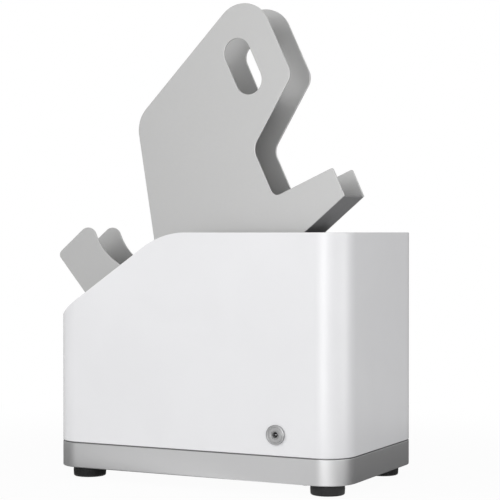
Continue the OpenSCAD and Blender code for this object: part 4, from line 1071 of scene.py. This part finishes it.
class JOGGER_OT_controls(bpy.types.Operator):
    """Makes the fluted speed knob on the back"""

    bl_idname = "jogger.controls"
    bl_label = "Speed knob"

    def execute(self, context):
        f, s = context.scene.jogger_fittings, context.scene.jogger_housing
        skin = Skin()
        gap = 0.0006                            # between the knob and the housing's back
        knob = self.knob(f, (f.knob_x, s.depth / 2 + gap, f.controls_z))
        skin.grid(knob, wrap_rows=True)
        skin.piece("fluted_knob", "speed_dial", ["speed_knob"], "black_plastic")
        return {"FINISHED"}

    def knob(self, f, centre):
        """A turned profile whose outer part is fluted.

        At angle a and height h the radius is the profile's radius less depth(h) * flute(a), where
        flute is a row of round hollows, the tenth power of a cosine, left out beside the mark. The
        mark is a shallow notch across the rim of the face.
        """
        columns = 18 * 24
        top, ease, flute_depth, notch_depth = 0.0079, 0.001, 0.00075, 0.0006
        bore, hub, dish = 0.00305, 0.0075, top - 0.0004
        edge = [(f.knob_radius - 0.0006 - ease * (1 - math.cos(t)), top - ease * (1 - math.sin(t)))
                for t in quarter(7)]
        profile = np.array([
            (bore, 0.0028), (hub, 0.0028), (hub, 0.0), (0.0123, 0.0), (0.0125, 0.0002),
            (0.0125, 0.0012), (0.01245, 0.0015), (0.01235, 0.0022), (0.0120, 0.0062)] + edge + [
            (0.0098, top), (0.0094, top - 0.0003), (0.004, dish), (AXIS, dish),
            (AXIS, top - 0.0015), (bore, top - 0.0015)])
        a = np.linspace(0, 2 * math.pi, columns, endpoint=False)
        flute = np.abs(np.cos(a * f.grips / 2)) ** 10
        mark = math.radians(140.0)
        off = np.abs((a - mark + math.pi) % (2 * math.pi) - math.pi)
        flute = np.where(off < math.pi / f.grips * 0.99, 0.0, flute)
        side = (profile[:, 0] > 0.0105) & (profile[:, 1] > 0.0014)
        radius = profile[:, :1] - flute_depth * np.outer(side, flute)
        on_top = (profile[:, 1] > top - 0.0008) & (profile[:, 0] > 0.0060)
        height = profile[:, 1:] - notch_depth * np.outer(on_top, off < 0.055)
        x = centre[0] + radius * np.sin(a)
        z = centre[2] + radius * np.cos(a)
        return np.stack([x, np.broadcast_to(centre[1] + height, x.shape), z], -1)


# Brightness of the screen by azimuth in degrees, from the front and growing to the right.
FLOOR_STOPS = (
    (-180, 0.10), (-95, 0.24), (-82, 0.20), (-76, 0.33), (-71, 0.95), (-66, 1.72), (-61, 1.42),
    (-53, 1.15), (-45, 1.15), (-30, 1.16), (-14, 1.00), (-6, 0.95), (4, 1.15), (12, 1.4),
    (22, 1.6), (34, 1.5), (43, 1.12), (54, 0.88), (65, 0.54), (77, 0.30), (89, 0.14),
    (103, 0.06), (118, 0.06), (134, 0.09), (153, 0.13), (180, 0.10))
WALL_STOPS = (
    (-180, 0.3), (-90, 0.6), (-60, 0.5), (-38, 0.68), (-32, 1.02), (-27, 1.26), (-14, 1.0),
    (0, 3.4), (9, 5.4), (18, 4.4), (32, 2.1), (60, 2.2), (92, 3.5), (108, 1.9), (125, 0.7),
    (153, 0.6), (180, 0.3))
# Profile of the screen, radius and height, and the place it is turned round.
SCREEN = ((0.04, 0.002), (0.50, 0.002), (0.62, 0.002), (1.8, 0.003), (1.9, 0.05), (1.9, 1.3))
SCREEN_X, SCREEN_Y = 0.163, -0.073
# Lamps: setting of the power, size, place, and whether glossy surfaces show it.
LAMPS = (("key", (1.05, 1.5), (1.0, -1.75, 0.70), False),
         ("front", (2.2, 1.6), (-1.1, -1.95, 0.86), False),
         ("overhead", (1.6, 1.4), (-0.15, -0.15, 2.0), True),
         ("right", (1.2, 0.7), (1.9, 0.0, 0.40), False))


class JOGGER_OT_stage(bpy.types.Operator):
    """Makes the pale floor, the soft lights, the screen for reflections and the camera"""

    bl_idname = "jogger.stage"
    bl_label = "Stage"

    def execute(self, context):
        scene, st = context.scene, context.scene.jogger_stage
        scene.view_settings.view_transform = "Standard"
        self.floor()
        self.world(scene, st)
        for name, size, at, glossy in LAMPS:
            self.lamp(name + "_light", getattr(st, name), size, at).visible_glossy = glossy
        self.screen(st)
        camera = put("camera", bpy.data.cameras.new("camera"))
        camera.data.lens, camera.data.sensor_width = st.lens, 36.0
        camera.data.clip_end = 50.0
        back = -Vector(st.view).normalized()
        side = Vector((0, 0, 1)).cross(back).normalized()
        camera.matrix_world = Matrix.Translation(Vector(st.eye)) @ Matrix(
            (side, back.cross(side), back)).transposed().to_4x4()
        scene.camera = camera
        return {"FINISHED"}

    def floor(self):
        """A level sheet 12 m across, white to the camera, shaded softly only near the machine."""
        steps = np.linspace(-6, 6, 9)
        x, y = np.meshgrid(steps, steps)
        skin = Skin()
        skin.grid(np.stack([x, y, np.zeros_like(x)], -1), wrap_cols=False)
        obj = put("floor", skin.mesh("floor", closed=False))
        material = bpy.data.materials.new("Studio floor")
        tree, surface = bare_tree(material, "ShaderNodeOutputMaterial")
        paper = place(tree, "ShaderNodeBsdfDiffuse", Color=(0.62, 0.62, 0.62))
        glow = place(tree, "ShaderNodeEmission", Color=WHITE, Strength=1.0)
        far = place(tree, "ShaderNodeVectorMath", here(tree), operation="LENGTH")
        share = ramp(tree, far.outputs["Value"], 0.28, 0.75, 0.96, 1.0)   # of white, by distance
        mixed(tree, times(tree, share, seen_rays(tree)), paper, glow, surface)
        obj.data.materials.append(material)

    def world(self, scene, st):
        """An even grey world that the camera, metal and glass see as white."""
        scene.world = bpy.data.worlds.new("studio")
        tree, surface = bare_tree(scene.world, "ShaderNodeOutputWorld")
        even = place(tree, "ShaderNodeBackground", Color=WHITE, Strength=st.world)
        white = place(tree, "ShaderNodeBackground", Color=WHITE, Strength=1.0)
        mixed(tree, seen_rays(tree), even, white, surface)

    def lamp(self, name, power, size, at):
        """A rectangular soft light at a place, turned to the machine's middle."""
        data = bpy.data.lights.new(name, "AREA")
        data.shape, data.size, data.size_y, data.energy = "RECTANGLE", size[0], size[1], power
        obj = put(name, data)
        obj.location = at
        aim = Vector((0.02, 0.0, 0.20)) - Vector(at)
        obj.rotation_euler = aim.to_track_quat("-Z", "Y").to_euler()
        return obj

    def screen(self, st):
        """A glowing screen round the machine, seen only in reflections.

        Its profile of radius and height runs out over the floor and then up, and is turned round
        the corner that faces the camera. How bright a point is comes from its azimuth: one row of
        stops is for the part on the floor, which the base reflects, and one for the upright part,
        which the housing reflects.
        """
        azimuth = np.linspace(-180.0, 180.0, 181)
        low = np.interp(azimuth, *np.transpose(FLOOR_STOPS)) * st.floor_glow
        high = np.interp(azimuth, *np.transpose(WALL_STOPS)) * st.wall_glow
        radius, height = np.transpose(SCREEN)
        a = np.radians(azimuth)
        skin = Skin()
        skin.grid(np.stack([SCREEN_X + np.outer(radius, np.sin(a)),
                            SCREEN_Y - np.outer(radius, np.cos(a)),
                            np.outer(height, np.ones(len(a)))], -1), wrap_cols=False)
        mesh = skin.mesh("screen", closed=False)
        glow = np.stack([low, low, high, high, high, high])
        mesh.attributes.new("glow", "FLOAT", "POINT").data.foreach_set("value", glow.ravel())
        material = bpy.data.materials.new("Lit screen")
        tree, surface = bare_tree(material, "ShaderNodeOutputMaterial")
        bright = place(tree, "ShaderNodeAttribute", attribute_name="glow").outputs["Fac"]
        lit = place(tree, "ShaderNodeEmission", Color=WHITE, Strength=bright)
        wire(tree, lit.outputs[0], surface)
        mesh.materials.append(material)
        obj = put("screen", mesh)
        obj.visible_camera = obj.visible_shadow = obj.visible_diffuse = False


class JOGGER_PT_panel(bpy.types.Panel):
    """Lists the settings and the steps that build the machine"""

    bl_idname = "JOGGER_PT_panel"
    bl_label = "Paper Jogger"
    bl_space_type = "VIEW_3D"
    bl_region_type = "UI"
    bl_category = "Jogger"

    def draw(self, context):
        for step in STEPS:
            self.layout.operator(step.bl_idname)
        for name in SETTINGS:
            group = getattr(context.scene, name)
            box = self.layout.box()
            box.label(text=name.replace("jogger_", "").capitalize())
            for key in group.__annotations__:
                box.prop(group, key)


STEPS = (JOGGER_OT_finishes, JOGGER_OT_housing, JOGGER_OT_base, JOGGER_OT_buffers,
         JOGGER_OT_leads, JOGGER_OT_tray, JOGGER_OT_inlet, JOGGER_OT_controls, JOGGER_OT_stage)
SETTINGS = {"jogger_housing": JoggerHousingSettings, "jogger_base": JoggerBaseSettings,
            "jogger_tray": JoggerTraySettings, "jogger_fittings": JoggerFittingSettings,
            "jogger_stage": JoggerStageSettings}
CLASSES = (*SETTINGS.values(), *STEPS, JOGGER_PT_panel)


def register():
    """Makes the classes and the settings known to Blender."""
    for entry in CLASSES:
        bpy.utils.register_class(entry)
    for name, group in SETTINGS.items():
        setattr(bpy.types.Scene, name, PointerProperty(type=group))


def unregister():
    """Takes the settings and the classes out again."""
    for name in SETTINGS:
        delattr(bpy.types.Scene, name)
    for entry in reversed(CLASSES):
        bpy.utils.unregister_class(entry)


def main():
    """Builds the machine and its stage step by step."""
    register()
    for step in STEPS:
        area, name = step.bl_idname.split(".")
        getattr(getattr(bpy.ops, area), name)()


if __name__ == "__main__":
    main()
